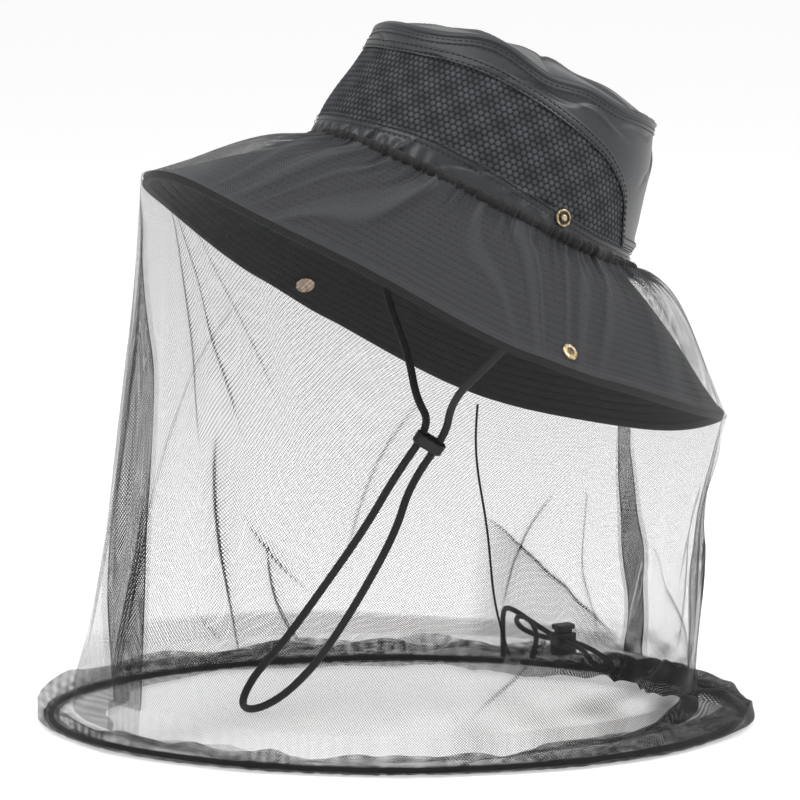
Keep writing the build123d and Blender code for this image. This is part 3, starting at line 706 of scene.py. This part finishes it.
def make_crown_top(nylon):
    """The domed top, with the welt where it turns in to the seam."""
    theta = angles(480)
    share = np.concatenate((np.linspace(0, 0.9, 60), np.linspace(0.905, 1.0, 26)))[:, None]
    edge = seam_line(theta)[None, :]
    dome = 14.5 * MM * (1 - share**2.7)
    welt = 1.5 * MM * np.exp(-((share - 0.975) / 0.014) ** 2)
    welt = welt - 0.8 * MM * np.exp(-((share - 0.945) / 0.01) ** 2)
    folds = (1.5 * MM * np.sin(3 * theta + 7 * share + 0.6) * share * (1 - share) * 2.2
             + 1.1 * MM * np.sin(7 * (theta + math.radians(79)) + 0.4) * share**3 * (1 - share) * 6
             + 0.7 * MM * np.sin(11 * theta - 9 * share) * share * (1 - share) * 2)
    for direction, reach, slope, length, width, depth in TOP_CREASES:
        middle = math.radians(direction)
        x = (share * np.cos(theta) - reach * math.cos(middle)) * 84 * MM
        y = (share * np.sin(theta) - reach * math.sin(middle)) * 88 * MM
        folds = folds + 1.3 * depth * MM * crease(x, y, slope, length, width / 1.2)
    height = edge * share**3 + SEAM_HEIGHT * (1 - share**3) + dome + folds * (1 - share**12)
    give = cloth_give(theta, seam_line(theta))[None, :]
    length = (SEAM_HALF_LENGTH + give + 0.9 * MM) * share
    width = (SEAM_HALF_WIDTH + give + 0.9 * MM) * share
    height = height + welt
    points = hat_points(width * np.cos(theta), length * np.sin(theta), height)
    top = add_grid("crown_top_cloth", points, nylon, slot="crown_nylon", replaces=["crown_top_panel"])
    solidify(top, 0.7 * MM)


def make_crown_mesh():
    """Ventilating mesh round the front and sides, a honeycomb of raised scales."""
    back = math.radians(37)
    theta = np.linspace(-math.pi - back, back, 1000)
    share = np.linspace(0, 1, 76)[:, None]
    low = lower_seam(theta)[None, :] - 1.2 * MM
    high = np.maximum(side_view_curve(theta, MESH_TOP_CURVE)[None, :] + 1.5 * MM, low + 1.5 * MM)
    height = low + (high - low) * share
    flat = crown_points(theta[None, :], height, -0.35 * MM)
    u = theta[None, :] * 91 * MM + 0 * height
    best = np.full(height.shape, 9.0)
    row_pitch = SCALE_PITCH * math.sqrt(3) / 2
    row = height / row_pitch
    for step in (-1, 0, 1):
        r = np.round(row) + step
        shift = (r % 2) * 0.5
        column = np.round(u / SCALE_PITCH - shift) + shift
        distance = np.hypot(u - column * SCALE_PITCH, height - r * row_pitch) / SCALE_PITCH
        best = np.minimum(best, distance)
    patch = 1 + 0.16 * np.sin(u * 260 + 2) * np.sin(height * 310)
    # The relief is the scales' height. The mesh material also paints colour from it: painted light on the
    # raised tops and painted shade in the gaps.
    relief = np.clip(1 - (best / 0.57) ** 3.4, 0, 1) ** 0.8 * patch / 1.16
    points = flat + outward(theta)[None] * (relief[..., None] * 0.8 * MM)
    mesh = grid_mesh("crown_scale_mesh", points, surface_uv(points, closed=False), closed=False,
                     marks={"relief": relief})
    piece = add_piece("crown_scale_mesh", mesh, scale_mesh("scale_knit_painted_light_and_shade"), slot="crown_mesh",
                      replaces=["crown_mesh_panel"])
    solidify(piece, 0.6 * MM)


def make_lower_band(nylon):
    """Plain band between the lower seam and the brim."""
    theta = angles(720)
    share = np.linspace(0, 1, 36)[:, None]
    low, high = foot_height(theta)[None, :], lower_seam(theta)[None, :] + 0.4 * MM
    height = low + (high - low) * share
    edge = high - height
    fold = -stitch_grooves(edge, (1.8, 4.8), 0.3 * MM)
    tucks = np.sin(64 * theta) * bump(theta, -95, 40) + np.sin(41 * theta) * bump(theta, 20, 40)
    fold = fold + 0.7 * MM * tucks * smooth_step(edge, 5 * MM, 9 * MM)
    points = crown_points(theta[None, :], height, 0.1 * MM + fold)
    band = add_grid("crown_lower_band_cloth", points, nylon,
                    slot="crown_nylon", replaces=["crown_lower_band"])
    solidify(band, 0.9 * MM)


def make_sweatband():
    """Rolled band inside the head opening."""
    theta = angles(360)
    share = np.linspace(0, 1, 20)[:, None]
    height = foot_height(theta)[None, :] + (20 * share - 2) * MM
    inset = 2.5 * MM + 0.4 * MM * np.cos(share * 2 * math.pi)
    width, length = crown_oval(height)
    points = hat_points((width - inset) * np.cos(theta), (length - inset) * np.sin(theta), height)
    twill = woven_cloth("sweatband_twill", (0.02, 0.02, 0.022), (0.035, 0.035, 0.038),
                        0.8 * MM, 0.8, 0.2, 0.06 * MM)
    band = add_grid("sweatband_cloth", points, twill, slot="sweatband", replaces=["sweatband"])
    solidify(band, 1.2 * MM)


# ---- brim ----------------------------------------------------------------------------------------

BRIM_WAVES = ((1, 9.5, -96), (2, 11.0, 66), (3, 3.0, -57))  # waves round the edge: height, peak


BRIM_EDGE_HEIGHT = -68.7  # mm, before the waves
BRIM_THICKNESS = 3.4 * MM


def brim_edge_height(theta):
    waves = sum(size * np.cos(count * (theta - math.radians(peak))) for count, size, peak in BRIM_WAVES)
    return (BRIM_EDGE_HEIGHT + waves) * MM


def brim_points(theta, reach, lift=0.0):
    """Points over the brim's upper surface: reach 0 at the crown and 1 at the edge."""
    theta, reach = np.broadcast_arrays(theta, reach)
    root, edge = foot_height(theta), brim_edge_height(theta)
    root_width = 87.4 * MM - root / 8
    root_length = 98.4 * MM - root / 6
    width = root_width + (BRIM_HALF_WIDTH - root_width) * reach
    length = root_length + (BRIM_HALF_LENGTH - root_length) * reach
    bow = 2.2 * MM * np.sin(math.pi * np.clip(reach / 0.8, 0, 1)) * smooth_step(reach, 0, 0.1)
    sway = 1.0 * MM * reach**2 * np.sin(7 * theta) * smooth_step(np.abs(np.sin(theta)), 0.05, 0.2)
    height = root + (edge - root) * reach + bow + sway + lift
    return hat_points(width * np.cos(theta), length * np.sin(theta), height)


QUILT_ROWS = np.arange(0.05, 0.95, 0.0535)
BINDING_PROFILE = (  # reach and lift in mm, round the tape's section
    (0.957, 0.35), (0.966, 0.85), (0.99, 1.0), (1.006, 0.8), (1.013, 0.0), (1.015, -1.7),
    (1.013, -3.4), (1.006, -4.2), (0.99, -4.4), (0.966, -4.2), (0.957, -3.75),
)
BRIM_ROWS = 130


def quilting(reach):
    """Depth of the grooves that the stitch rows pull into the cloth."""
    groove = np.zeros_like(reach)
    for row in QUILT_ROWS:
        groove = groove + np.exp(-((reach - row) / 0.008) ** 2)
    return groove


def brim_shell(name, top, bottom, material, quilt, **labels):
    """A closed ring of cloth between two depths, quilted on the side that shows."""
    theta = angles(360)
    out = np.linspace(0, 1, BRIM_ROWS)
    reach = np.concatenate((out, out[::-1]))[:, None]
    depth = np.repeat((-top, -bottom), BRIM_ROWS)[:, None]
    shown = np.repeat((quilt > 0, quilt < 0), BRIM_ROWS)[:, None]
    lift = depth - quilting(reach) * 0.35 * MM * quilt * shown
    add_grid(name, brim_points(theta, reach, lift), material, ring_rows=True, **labels)


def make_brim():
    twill = woven_cloth("brim_twill", (0.012, 0.0125, 0.0138), (0.027, 0.028, 0.0305),
                        0.9 * MM, 0.7, 0.08, 0.09 * MM)
    core = woven_cloth("interlining_felt", (0.5, 0.5, 0.48), (0.62, 0.62, 0.6),
                       0.5 * MM, 0.9, 0.1, 0.05 * MM)
    tape = woven_cloth("binding_rib", (0.010, 0.0105, 0.0115), (0.026, 0.027, 0.029),
                       0.7 * MM, 0.6, 0.1, 0.12 * MM, twill=False)
    thread = woven_cloth("quilting_thread", (0.003, 0.003, 0.0033), (0.008, 0.008, 0.009),
                         0.3 * MM, 0.6, 0.2, 0.02 * MM)
    brim_shell("brim_upper_cloth", 0.0, 1.0 * MM, twill, 1.0,
               slot="brim_cloth", replaces=["brim_upper_layer"])
    brim_shell("brim_core", 1.05 * MM, 2.15 * MM, core, 0.0,
               slot="interlining", replaces=["brim_interlining"])
    brim_shell("brim_lower_cloth", 2.2 * MM, BRIM_THICKNESS, twill, -1.0,
               slot="brim_cloth", replaces=["brim_lower_layer"])

    theta = angles(540)
    theta = np.concatenate((theta, theta[:1] + 2 * math.pi))
    upper, lower = [], []
    for row in QUILT_ROWS:
        line = brim_points(theta, row)
        normals = np.broadcast_to(UP, line.shape)
        upper.append((line - UP * 0.15 * MM, normals))
        lower.append((line - UP * (BRIM_THICKNESS - 0.1 * MM), -normals))
    stitches("brim_quilting_top", upper, thread, slot="brim_cloth")
    stitches("brim_quilting_under", lower, thread, slot="brim_cloth")

    reach, lift = np.array(BINDING_PROFILE).T[..., None]
    points = brim_points(angles(720), reach, lift * MM)
    binding = add_grid("brim_binding_tape", points, tape, ring_rows=True,
                       slot="binding_tape", replaces=["brim_edge_binding"])
    smoother = binding.modifiers.new("rounding", "SUBSURF")
    smoother.levels = smoother.render_levels = 1


# ---- veil ----------------------------------------------------------------------------------------

def hem_direction(theta):
    """Direction in which the curtain's foot lies, for a place on the brim's edge."""
    spread = np.arctan2(BRIM_HALF_LENGTH * np.sin(theta), BRIM_HALF_WIDTH * np.cos(theta))
    return theta + wrapped(spread - theta)


def hem_radius(angle):
    """The hem's distance from its centre: an oval turned from the hat's axes."""
    across, along = np.cos(angle - HEM_TURN), np.sin(angle - HEM_TURN)
    return HEM_HALF_LENGTH * HEM_HALF_WIDTH / np.hypot(HEM_HALF_WIDTH * across, HEM_HALF_LENGTH * along)


def round_the_hem(radius, angle, height):
    """Points given by their distance from the hem's centre, their direction and their height."""
    return np.stack((HEM_CENTRE[0] + radius * np.cos(angle), HEM_CENTRE[1] + radius * np.sin(angle),
                     height), axis=-1)


PLEATS = (  # place at the brim, half way and at the floor; half width at each (degrees); extra layers
    (-117, -109, -101, 0.8, 14.0, 6.0, 0.72),
    (50, 52, 46, 0.5, 2.4, 5.0, 0.8),
    (107, 96, 84, 1.6, 3.0, 4.6, 1.3),
)

FOLD_LINES = (  # place and share of the drop at both ends, bend in degrees, strength
    (-93, 0.02, -76, 0.50, 3, 2.4), (-92, 0.03, -66, 0.45, 4, 1.8), (-90, 0.02, -58, 0.36, 5, 1.0),
    (-72, 0.43, -62, 0.90, -3, 3.4), (-66, 0.58, -48, 0.72, 0, 3.0), (-59, 0.62, -46, 0.86, -3, 3.4),
    (-78, 0.78, -66, 0.86, 0, 2.4), (-97, 0.58, -107, 1.00, 2, 3.4), (112, 0.30, 96, 0.99, 3, 1.6),
    (72, 0.25, 66, 0.97, -4, 2.2), (136, 0.48, 92, 0.95, 2, 3.8), (20, 0.45, 36, 0.97, 4, 1.8),
    (62, 0.08, 54, 0.97, -4, 3.2), (150, 0.10, 165, 0.80, 3, 1.2), (190, 0.05, 205, 0.70, 4, 0.8),
    (120, 0.35, 128, 0.90, 2, 2.0), (0, 0.70, -14, 0.98, 2, 1.8),
)


def curtain_columns():
    """Every column's phase and kind: a pleat goes forward, back and forward again."""
    order = np.argsort([pleat[1] for pleat in PLEATS])
    phases, kinds = [], []
    for place, index in enumerate(order):
        following = order[(place + 1) % len(order)]
        gap = (PLEATS[following][1] - PLEATS[index][1]) % 360
        count = int(gap * 2.6)
        phases += [np.linspace(0, 1, 150, endpoint=False), np.linspace(0, 1, count, endpoint=False)]
        kinds += [np.full(150, index), np.full(count, -1 - index)]
    return np.concatenate(phases), np.concatenate(kinds), order


def pleat_state(index, drop):
    """A pleat's place and half width at each share of the drop."""
    places, widths = PLEATS[index][:3], PLEATS[index][3:6]
    return (np.radians(np.interp(drop, (0, 0.5, 1), places)),
            np.radians(np.interp(drop, (0, 0.45, 1), widths)))


def curtain_layout(drop):
    """Place, inward step and layer count of every column, for each share of the drop."""
    phases, kinds, order = curtain_columns()
    direction = np.zeros((len(drop), len(phases)))
    inward = np.zeros_like(direction)
    layers = np.ones_like(direction)
    for place, index in enumerate(order):
        middle, width = pleat_state(index, drop)
        columns = kinds == index
        phase = phases[columns][None, :]
        zigzag = np.interp(phase, (0, 1 / 3, 2 / 3, 1), (-1, 1, -1, 1))
        direction[:, columns] = middle[:, None] + zigzag * width[:, None]
        open_share = np.clip(width / math.radians(3), 0, 1)[:, None]
        steps = np.interp(phase, (0, 0.30, 0.37, 0.63, 0.70, 1), (0, 0, 1, 1, 2, 2))
        inward[:, columns] = steps * 2.0 * MM * open_share
        fold = np.exp(-((phase - 1 / 3) / 0.010) ** 2) + np.exp(-((phase - 2 / 3) / 0.010) ** 2)
        fade = 1 - 0.5 * smooth_step(drop, 0.86, 1.0)[:, None]
        layers[:, columns] = 1 + (PLEATS[index][6] * open_share + 3.0 * fold) * fade
        following = order[(place + 1) % len(order)]
        next_middle, next_width = pleat_state(following, drop)
        gap_columns = kinds == -1 - index
        gap_phase = phases[gap_columns][None, :]
        stretch = (next_middle - middle) % (2 * math.pi) - width - next_width
        direction[:, gap_columns] = (middle + width)[:, None] + stretch[:, None] * gap_phase
        inward[:, gap_columns] = 4.0 * MM * (1 - smooth_step(gap_phase, 0, 0.25)) * open_share
    return direction, inward, layers


def fold_marks(direction, drop):
    """Ridges and dark lines where the net is creased along its length."""
    ridge = np.zeros_like(direction)
    dark = np.zeros_like(direction)
    share = drop[:, None]
    for start, first, end, last, bend, strength in FOLD_LINES:
        along = np.clip((share - first) / (last - first), 0, 1)
        line = np.radians(start + (end - start) * along + bend * np.sin(along * math.pi))
        aside = wrapped(direction - line) * 0.165
        fade = smooth_step(share, first - 0.02, first + 0.06)
        fade = fade * (1 - smooth_step(share, last - 0.08, last + 0.01))
        swell = np.sin(np.clip(along, 0, 1) * math.pi) ** 0.5
        ridge += strength * 0.9 * MM * fade * swell * np.exp(-np.abs(aside) / (5 * MM))
        dark += fade * swell * (strength * 1.6 * np.exp(-(aside / (0.8 * MM)) ** 2)
                                + 0.20 * strength * np.exp(-np.abs(aside) / (5 * MM)))
    return ridge, dark


def foot_keys(theta):
    """How the net lies at the floor: radius from the hem's middle line and height, in mm."""
    pile, left, back = bump(theta, 52, 42), bump(theta, -118, 48), bump(theta, 150, 62)
    stand = 9 + 4 * left + 17 * pile + 1.5 * np.sin(3 * theta + 1)
    lies = 9 + 7 * np.sin(3 * theta + 2) + 5 * np.sin(7 * theta) + 3 * np.sin(17 * theta)
    return stand, [
        (0.00, -stand, 20 + 4 * left),
        (0.16, -stand + 1, 7 + 0 * stand),
        (0.32, -stand - 4 - np.clip(lies, 1, 30), 1.5 + 1.5 * pile),
        (0.50, -stand + 5 - 8 * pile,
         5 + 11 * back + 11 * pile + 3 * np.sin(13 * theta) * (back + pile)),
        (0.66, -5 - 6 * pile, 8 + 4 * pile + 1.5 * np.sin(11 * theta)),
        (0.82, 6 + 1.5 * left + 1.2 * np.sin(23 * theta + 1),
         11 + 3 * left - 3 * pile + 2 * np.sin(19 * theta)),
        (0.93, 7.5 + np.sin(11 * theta), 3 + 0 * stand),
        (1.00, 3 + 0 * stand, 1.5 + 0 * stand),
    ]


def lay_on_floor(theta, shares):
    """Radius and height of the net's rows that lie at the floor."""
    _, keys = foot_keys(theta)
    places = np.array([key[0] for key in keys])
    radii = np.array([key[1] * np.ones_like(theta) for key in keys]) * MM
    heights = np.array([key[2] * np.ones_like(theta) for key in keys]) * MM
    radius, height = [], []
    for share in shares:
        k = min(np.searchsorted(places, share, side="right") - 1, len(places) - 2)
        blend = (share - places[k]) / (places[k + 1] - places[k])
        blend = 0.5 * blend + 0.5 * blend * blend * (3 - 2 * blend)
        radius.append(radii[k] * (1 - blend) + radii[k + 1] * blend)
        height.append(heights[k] * (1 - blend) + heights[k + 1] * blend)
    return np.array(radius), np.array(height)


def doubled_corner(theta, drop):
    """Where a corner of the net is turned back on itself, behind and to the right."""
    turn = np.degrees(wrapped(theta - math.radians(70))) + 70
    edge = 0.48 + (136 - turn) / 44 * 0.45
    inside = smooth_step(turn, 64, 84) * (1 - smooth_step(turn, 130, 138))
    return smooth_step(drop, edge, edge + 0.03) * inside


def make_curtain(net):
    """The net from the brim's edge to the floor, folded there and turned under to the hem."""
    wall = np.linspace(0, 1, 120)
    lay = np.linspace(0, 1, 62)[1:]
    theta, inward, layers = curtain_layout(wall)
    drop = wall[:, None]
    ridge, dark = fold_marks(theta, wall)
    rim = brim_points(theta, 1.022, 1.0 * MM) + outward(theta) * 1.2 * MM
    angle = hem_direction(theta)
    stand, _ = foot_keys(theta)
    radius = hem_radius(angle) - stand * MM
    foot = round_the_hem(radius, angle, FLOOR + 20 * MM + 4 * MM * bump(theta, -118, 48))
    swell = np.sin(math.pi * drop) ** 0.8
    billow = (3.6 * np.sin(4 * theta + 0.5 + 1.5 * drop) + 2.4 * np.sin(9 * theta - 2 * drop + 2)
              + 1.6 * np.sin(19 * theta + 3 * drop) + 0.9 * np.sin(37 * theta - 2 * drop))
    billow = billow * smooth_step(drop, 0.02, 0.4) * (0.3 + 0.7 * swell)
    billow = billow * (1 - 0.5 * smooth_step(drop, 0.9, 1))
    away = np.stack((np.cos(angle), np.sin(angle), np.zeros_like(angle)), axis=-1)
    outset = (billow - 2.5 * swell) * MM + ridge - inward * smooth_step(drop, 0, 0.12)
    hanging = rim + (foot - rim) * drop[..., None] + away * outset[..., None]

    last, last_angle = theta[-1], angle[-1]
    radius, height = lay_on_floor(last, lay)
    phase = lay[:, None]
    pile = bump(last, 52, 42)
    crumple = np.sin(11 * last + 9 * phase) + np.sin(19 * last - 11 * phase) + 0.6 * np.sin(37 * last)
    crumple = crumple * (0.4 + 2.2 * pile)
    fade = smooth_step(phase, 0.1, 0.3) * (1 - smooth_step(phase, 0.62, 0.98) * (0.3 + 0.7 * pile))
    fade = fade * (1 - smooth_step(phase, 0.95, 1.0))
    reach = hem_radius(last_angle) + radius + crumple * 0.7 * MM * fade
    height = np.maximum(FLOOR + height + np.abs(crumple) * MM * fade, FLOOR + 0.8 * MM)
    lying = round_the_hem(reach, last_angle, height)
    points = np.concatenate((hanging, lying))

    layers = layers + dark + 1.1 * doubled_corner(theta, drop)
    layers = layers + 2.6 * np.exp(-(drop / 0.010) ** 2)
    layers = layers + 1.6 * smooth_step(drop, 0.925, 0.94) * bump(theta, 150, 62)
    rumpled = np.sin(17 * theta + 31 * drop) + np.sin(29 * theta - 43 * drop) + np.sin(11 * theta + 60 * drop)
    layers = layers + bump(theta, 48, 46) * smooth_step(drop, 0.82, 1) * np.maximum(1.6 + rumpled, 0)
    carried_on = (np.minimum(layers[-1][None, :], 2.4) - 1) * (1 - smooth_step(phase, 0, 0.4))
    floor_layers = 0.8 + 0.8 * carried_on + 3.4 * pile + 0.7 * smooth_step(phase, 0.55, 1)
    floor_layers = floor_layers + (0.1 + 1.4 * phase) * np.sin(53 * last + 4 * np.sin(7 * last)) ** 2
    marks = {"layers": np.concatenate((layers, floor_layers))}
    piece = add_grid("veil_curtain_net", points, net, marks=marks, slot="net", replaces=["veil_net_curtain"])


def gathers(theta, sharpness=1.0):
    """Uneven tight folds, as elastic pulls them into cloth; between -1 and 1."""
    swing = theta + 0.02 * np.sin(9 * theta) + 0.013 * np.sin(23 * theta + 1)
    folds = np.sin(71 * swing) + 0.8 * np.sin(113 * swing + 2) + 0.5 * np.sin(167 * swing)
    return np.tanh(folds * sharpness)


def make_upper_net(net):
    """The net over the brim: gathered at the crown, with folds that run out to the edge."""
    theta = angles(1600)
    share = np.linspace(0, 1, 110)[:, None]
    reach = 0.02 + 1.002 * share
    swirl = theta + 0.25 * share * np.sin(5 * theta) + 0.1 * share * np.sin(11 * theta + 1)
    fold = np.abs(np.sin(6.5 * swirl + 0.4)) * 0.6 + np.abs(np.sin(11.5 * swirl + 1)) * 0.4
    small = np.abs(np.sin(24.5 * swirl + 2))
    sharp = np.exp(-((np.abs(np.sin(6.5 * swirl + 0.4)) - 1) / 0.03) ** 2)
    sharp = sharp + np.exp(-((np.abs(np.sin(11.5 * swirl + 1)) - 1) / 0.02) ** 2)
    middle = np.sin(math.pi * np.clip(share, 0, 1) ** 0.7)
    lift = 1.3 * MM + 3.4 * MM * gathers(theta, 0.7)[None, :] * np.exp(-(share / 0.21) ** 1.5)
    lift = lift + (4.2 * MM * fold**2 + 1.1 * MM * small * (1 - share)) * middle
    stands = 14 * bump(theta, 66, 40) + 4 * bump(theta, -103, 26) + 3 * bump(theta, 160, 50)
    lift = lift + stands[None, :] * MM * middle
    lift = np.maximum(lift, 1.1 * MM)
    points = brim_points(theta, reach, lift)
    out = (3.0 + 0.9 * gathers(theta)) * MM
    start = hat_points((HEAD_HALF_WIDTH + 1.4 * MM + out) * np.cos(theta),
                       (HEAD_HALF_LENGTH + 1.2 * MM + out) * np.sin(theta),
                       foot_height(theta) + (7.0 + 0.8 * np.sin(17 * theta)) * MM)
    join = (1 - smooth_step(share, 0, 0.11))[..., None]
    points = points * (1 - join) + start[None] * join
    layers = 1.15 + (2.4 - 1.3 * gathers(theta, 0.7)[None, :]) * np.exp(-share / 0.13)
    layers = layers + 2.0 * sharp * (1 - 0.5 * share) + 0.5 * (1 - share) * small
    layers = layers + 1.6 * np.exp(-((1 - share) / 0.012) ** 2)
    layers = layers + 4.0 * bump(theta, -112, 34)[None, :] * share ** 0.5
    piece = add_grid("veil_upper_net", points, net, marks={"layers": layers},
                     slot="net", replaces=["veil_net_upper"])


def make_elastic(net_dense):
    """The gathered casing round the crown, tight over its elastic."""
    theta = angles(1800)
    turn = angles(16)[:, None]
    ruffle = gathers(theta, 0.8)
    lumps = 1.1 + 0.15 * np.sin(5 * theta + 1) + 0.15 * np.sin(11 * theta) + 0.4 * bump(theta, 10, 60)
    tall = (2.9 + 0.5 * ruffle + 0.3 * np.sin(13 * theta) * np.sin(29 * theta)) * MM * (0.75 + 0.25 * lumps)
    out = (1.7 + 0.8 * ruffle) * lumps * MM * np.cos(turn) + (1.0 + 1.8 * lumps + 0.4 * ruffle) * MM
    height = foot_height(theta) + 4.6 * MM + tall * np.sin(turn)
    points = hat_points((HEAD_HALF_WIDTH + 1.2 * MM + out) * np.cos(theta),
                        (HEAD_HALF_LENGTH + 1.0 * MM + out) * np.sin(theta), height)
    add_grid("veil_gathered_elastic", points, net_dense, ring_rows=True,
             marks={"layers": 4.0 - 1.2 * ruffle + 0 * turn}, slot="elastic", replaces=["veil_elastic"])


def make_hem(net_dense):
    """The folded hem that lies on the floor, puckered along its drawcord."""
    angle = angles(1440)
    turn = angles(16)[:, None]
    pucker = gathers(angle, 0.7) + 0.5 * np.sin(5 * angle) + 0.4 * np.sin(17 * angle + 1)
    half_width = CASING_WIDTH / 2 * (0.88 + 0.10 * pucker)
    half_height = CASING_HEIGHT / 2 * (0.84 + 0.08 * pucker)
    radius = hem_radius(angle) + half_width * np.cos(turn) + 0.3 * MM * np.sin(7 * angle)
    height = FLOOR + CASING_HEIGHT / 2 + half_height * np.sin(turn)
    points = round_the_hem(radius, angle, height)
    add_grid("veil_hem_band", points, net_dense, ring_rows=True,
             marks={"layers": 2.2 + 0.9 * pucker + 0 * turn}, slot="hem_cloth", replaces=["veil_hem_casing"])


def make_hem_roll(net):
    """Loose net twisted round the hem, with darker lines where it doubles."""
    angle = angles(1600)
    turn = angles(22)[:, None]
    twist = turn + 1.5 * np.sin(3 * angle) + 6 * angle
    swell = 1 + 0.22 * np.sin(4 * angle + 1) + 0.12 * np.sin(9 * angle) + 0.1 * np.sin(2 * twist)
    swell = swell + 0.07 * np.sin(37 * angle + 2 * turn) + 0.5 * bump(angle, 38, 30)
    swell = swell + 0.2 * bump(angle, 235, 30)
    reach = -1.0 + 6.0 * swell * np.cos(turn) - np.sin(5 * angle) - 4.0 * bump(angle, 38, 34)
    radius = hem_radius(angle) + reach * MM
    height = np.maximum(4.6 * swell * (1 + np.sin(turn)), 0.6) * MM + FLOOR
    points = round_the_hem(radius, angle, height)
    doubled = np.exp(-(np.sin(twist / 2) / 0.12) ** 2) + np.exp(-(np.sin(twist * 1.5 + 1) / 0.10) ** 2)
    marks = {"layers": 0.7 + 2.4 * doubled + 1.8 * bump(angle, 38, 34)}
    piece = add_grid("veil_hem_roll", points, net, ring_rows=True, marks=marks, slot="net")


def make_seam(thread):
    """Overlocked seam: a thin ridge of net wrapped in zigzag thread."""
    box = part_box("veil_seam")
    top = np.array((box[0][0] + 1 * MM, box[0][1] + 1 * MM, box[1][2]))
    bottom = np.array((box[1][0] - 1 * MM, box[1][1] - 1 * MM, box[0][2]))
    share = np.linspace(0, 1, 260)[:, None]
    line = top + (bottom - top) * share
    sway = -5.5 * np.sin(math.pi * share) - 1.5 * np.sin(3 * math.pi * share)
    line = line + np.array((0.559, 0.829, 0.0)) * sway * MM
    turn = angles(8)
    side = np.array((0.56, 0.83, 0.0))
    out = np.array((-0.83, 0.56, 0.0))
    wobble = 1 + 0.25 * np.sin(share * 520)
    points = (line[:, None] + side * np.cos(turn)[None, :, None] * 0.7 * MM * wobble[:, :, None]
              + out * np.sin(turn)[None, :, None] * 0.4 * MM)
    mesh = grid_mesh("veil_overlock_seam", points, surface_uv(points))
    close_ends(mesh, [tuple(range(7, -1, -1)), tuple(259 * 8 + k for k in range(8))])
    add_piece("veil_overlock_seam", mesh, thread, slot="overlock_thread", replaces=["veil_seam"])


def make_veil():
    net = net_cloth("veil_net", 0.116, (0.006, 0.006, 0.0065))
    # A lighter copy of the same net for the part over the brim: painted light, its threads coloured as if lit
    # where they catch the light over the dark brim.
    painted_lit_net = net_cloth("veil_net_painted_lit_copy", 0.115, (0.031, 0.032, 0.034))
    dense = net_cloth("veil_net_gathered", 0.12, (0.011, 0.011, 0.012))
    thread = woven_cloth("overlock_thread", (0.006, 0.006, 0.0065), (0.02, 0.02, 0.022),
                         0.5 * MM, 0.7, 0.2, 0.05 * MM)
    make_upper_net(painted_lit_net)
    make_curtain(net)
    make_elastic(dense)
    make_hem(dense)
    make_hem_roll(net)
    make_seam(thread)


# ---- CAD pieces that keep their shape --------------------------------------------------------------

def dress_cad_nodes():
    brass = metal("snap_brass_worn", (0.20, 0.14, 0.07), (0.62, 0.5, 0.32), 0.22)
    copper = metal("snap_cap_copper", (0.36, 0.27, 0.2), (0.62, 0.5, 0.4), 0.34)
    steel = metal("spring_wire", (0.4, 0.4, 0.4), (0.7, 0.7, 0.7), 0.2)
    black = moulded_plastic("moulded_black", (0.005, 0.005, 0.0055), (0.012, 0.012, 0.013))
    tape = woven_cloth("tab_tape", (0.02, 0.02, 0.022), (0.04, 0.04, 0.043), 0.7 * MM, 0.7, 0.2, 0.05 * MM)
    cord = braid("drawcord_inside", (0.005, 0.005, 0.0055), 1.1 * MM)
    looks = {"snap_stud": brass, "snap_post": brass, "snap_socket": brass, "snap_cap": copper,
             "cord_lock_spring": steel, "cord_lock_b": black, "chin_slider": black,
             "cord_tab": tape}
    for name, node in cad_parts.items():
        for key, material in looks.items():
            if key in name:
                for slot in node.material_slots:
                    slot.material = material
        if name == "drawcord":
            for slot in node.material_slots:
                slot.material = cord


def make_stud_dishes():
    """The dark ground inside each stud's ring."""
    enamel = moulded_plastic("stud_ground", (0.006, 0.005, 0.004), (0.02, 0.017, 0.012))
    for name, side in (("left", 1), ("right", -1)):
        out = ACROSS * side + UP * 0.125
        out /= np.linalg.norm(out)
        sideways, upward = BACK, np.cross(out, BACK)
        base = np.array((side * (87 * MM - 0.3 * MM / 8), 0, 0)) + UP * 0.3 * MM
        turn = angles(48)
        circle = sideways * np.cos(turn)[:, None] + upward * np.sin(turn)[:, None]
        profile = ((3.82, 0.95), (3.6, 0.86), (2.9, 0.84), (2.12, 0.9))
        points = np.stack([base + circle * radius * MM + out * lift * MM for radius, lift in profile])
        add_grid(f"stud_ground_{name}", points, enamel, slot="snap_brass")


make_camera()
make_cords()
make_studio()
make_crown()
make_brim()
make_veil()
make_stud_dishes()
dress_cad_nodes()
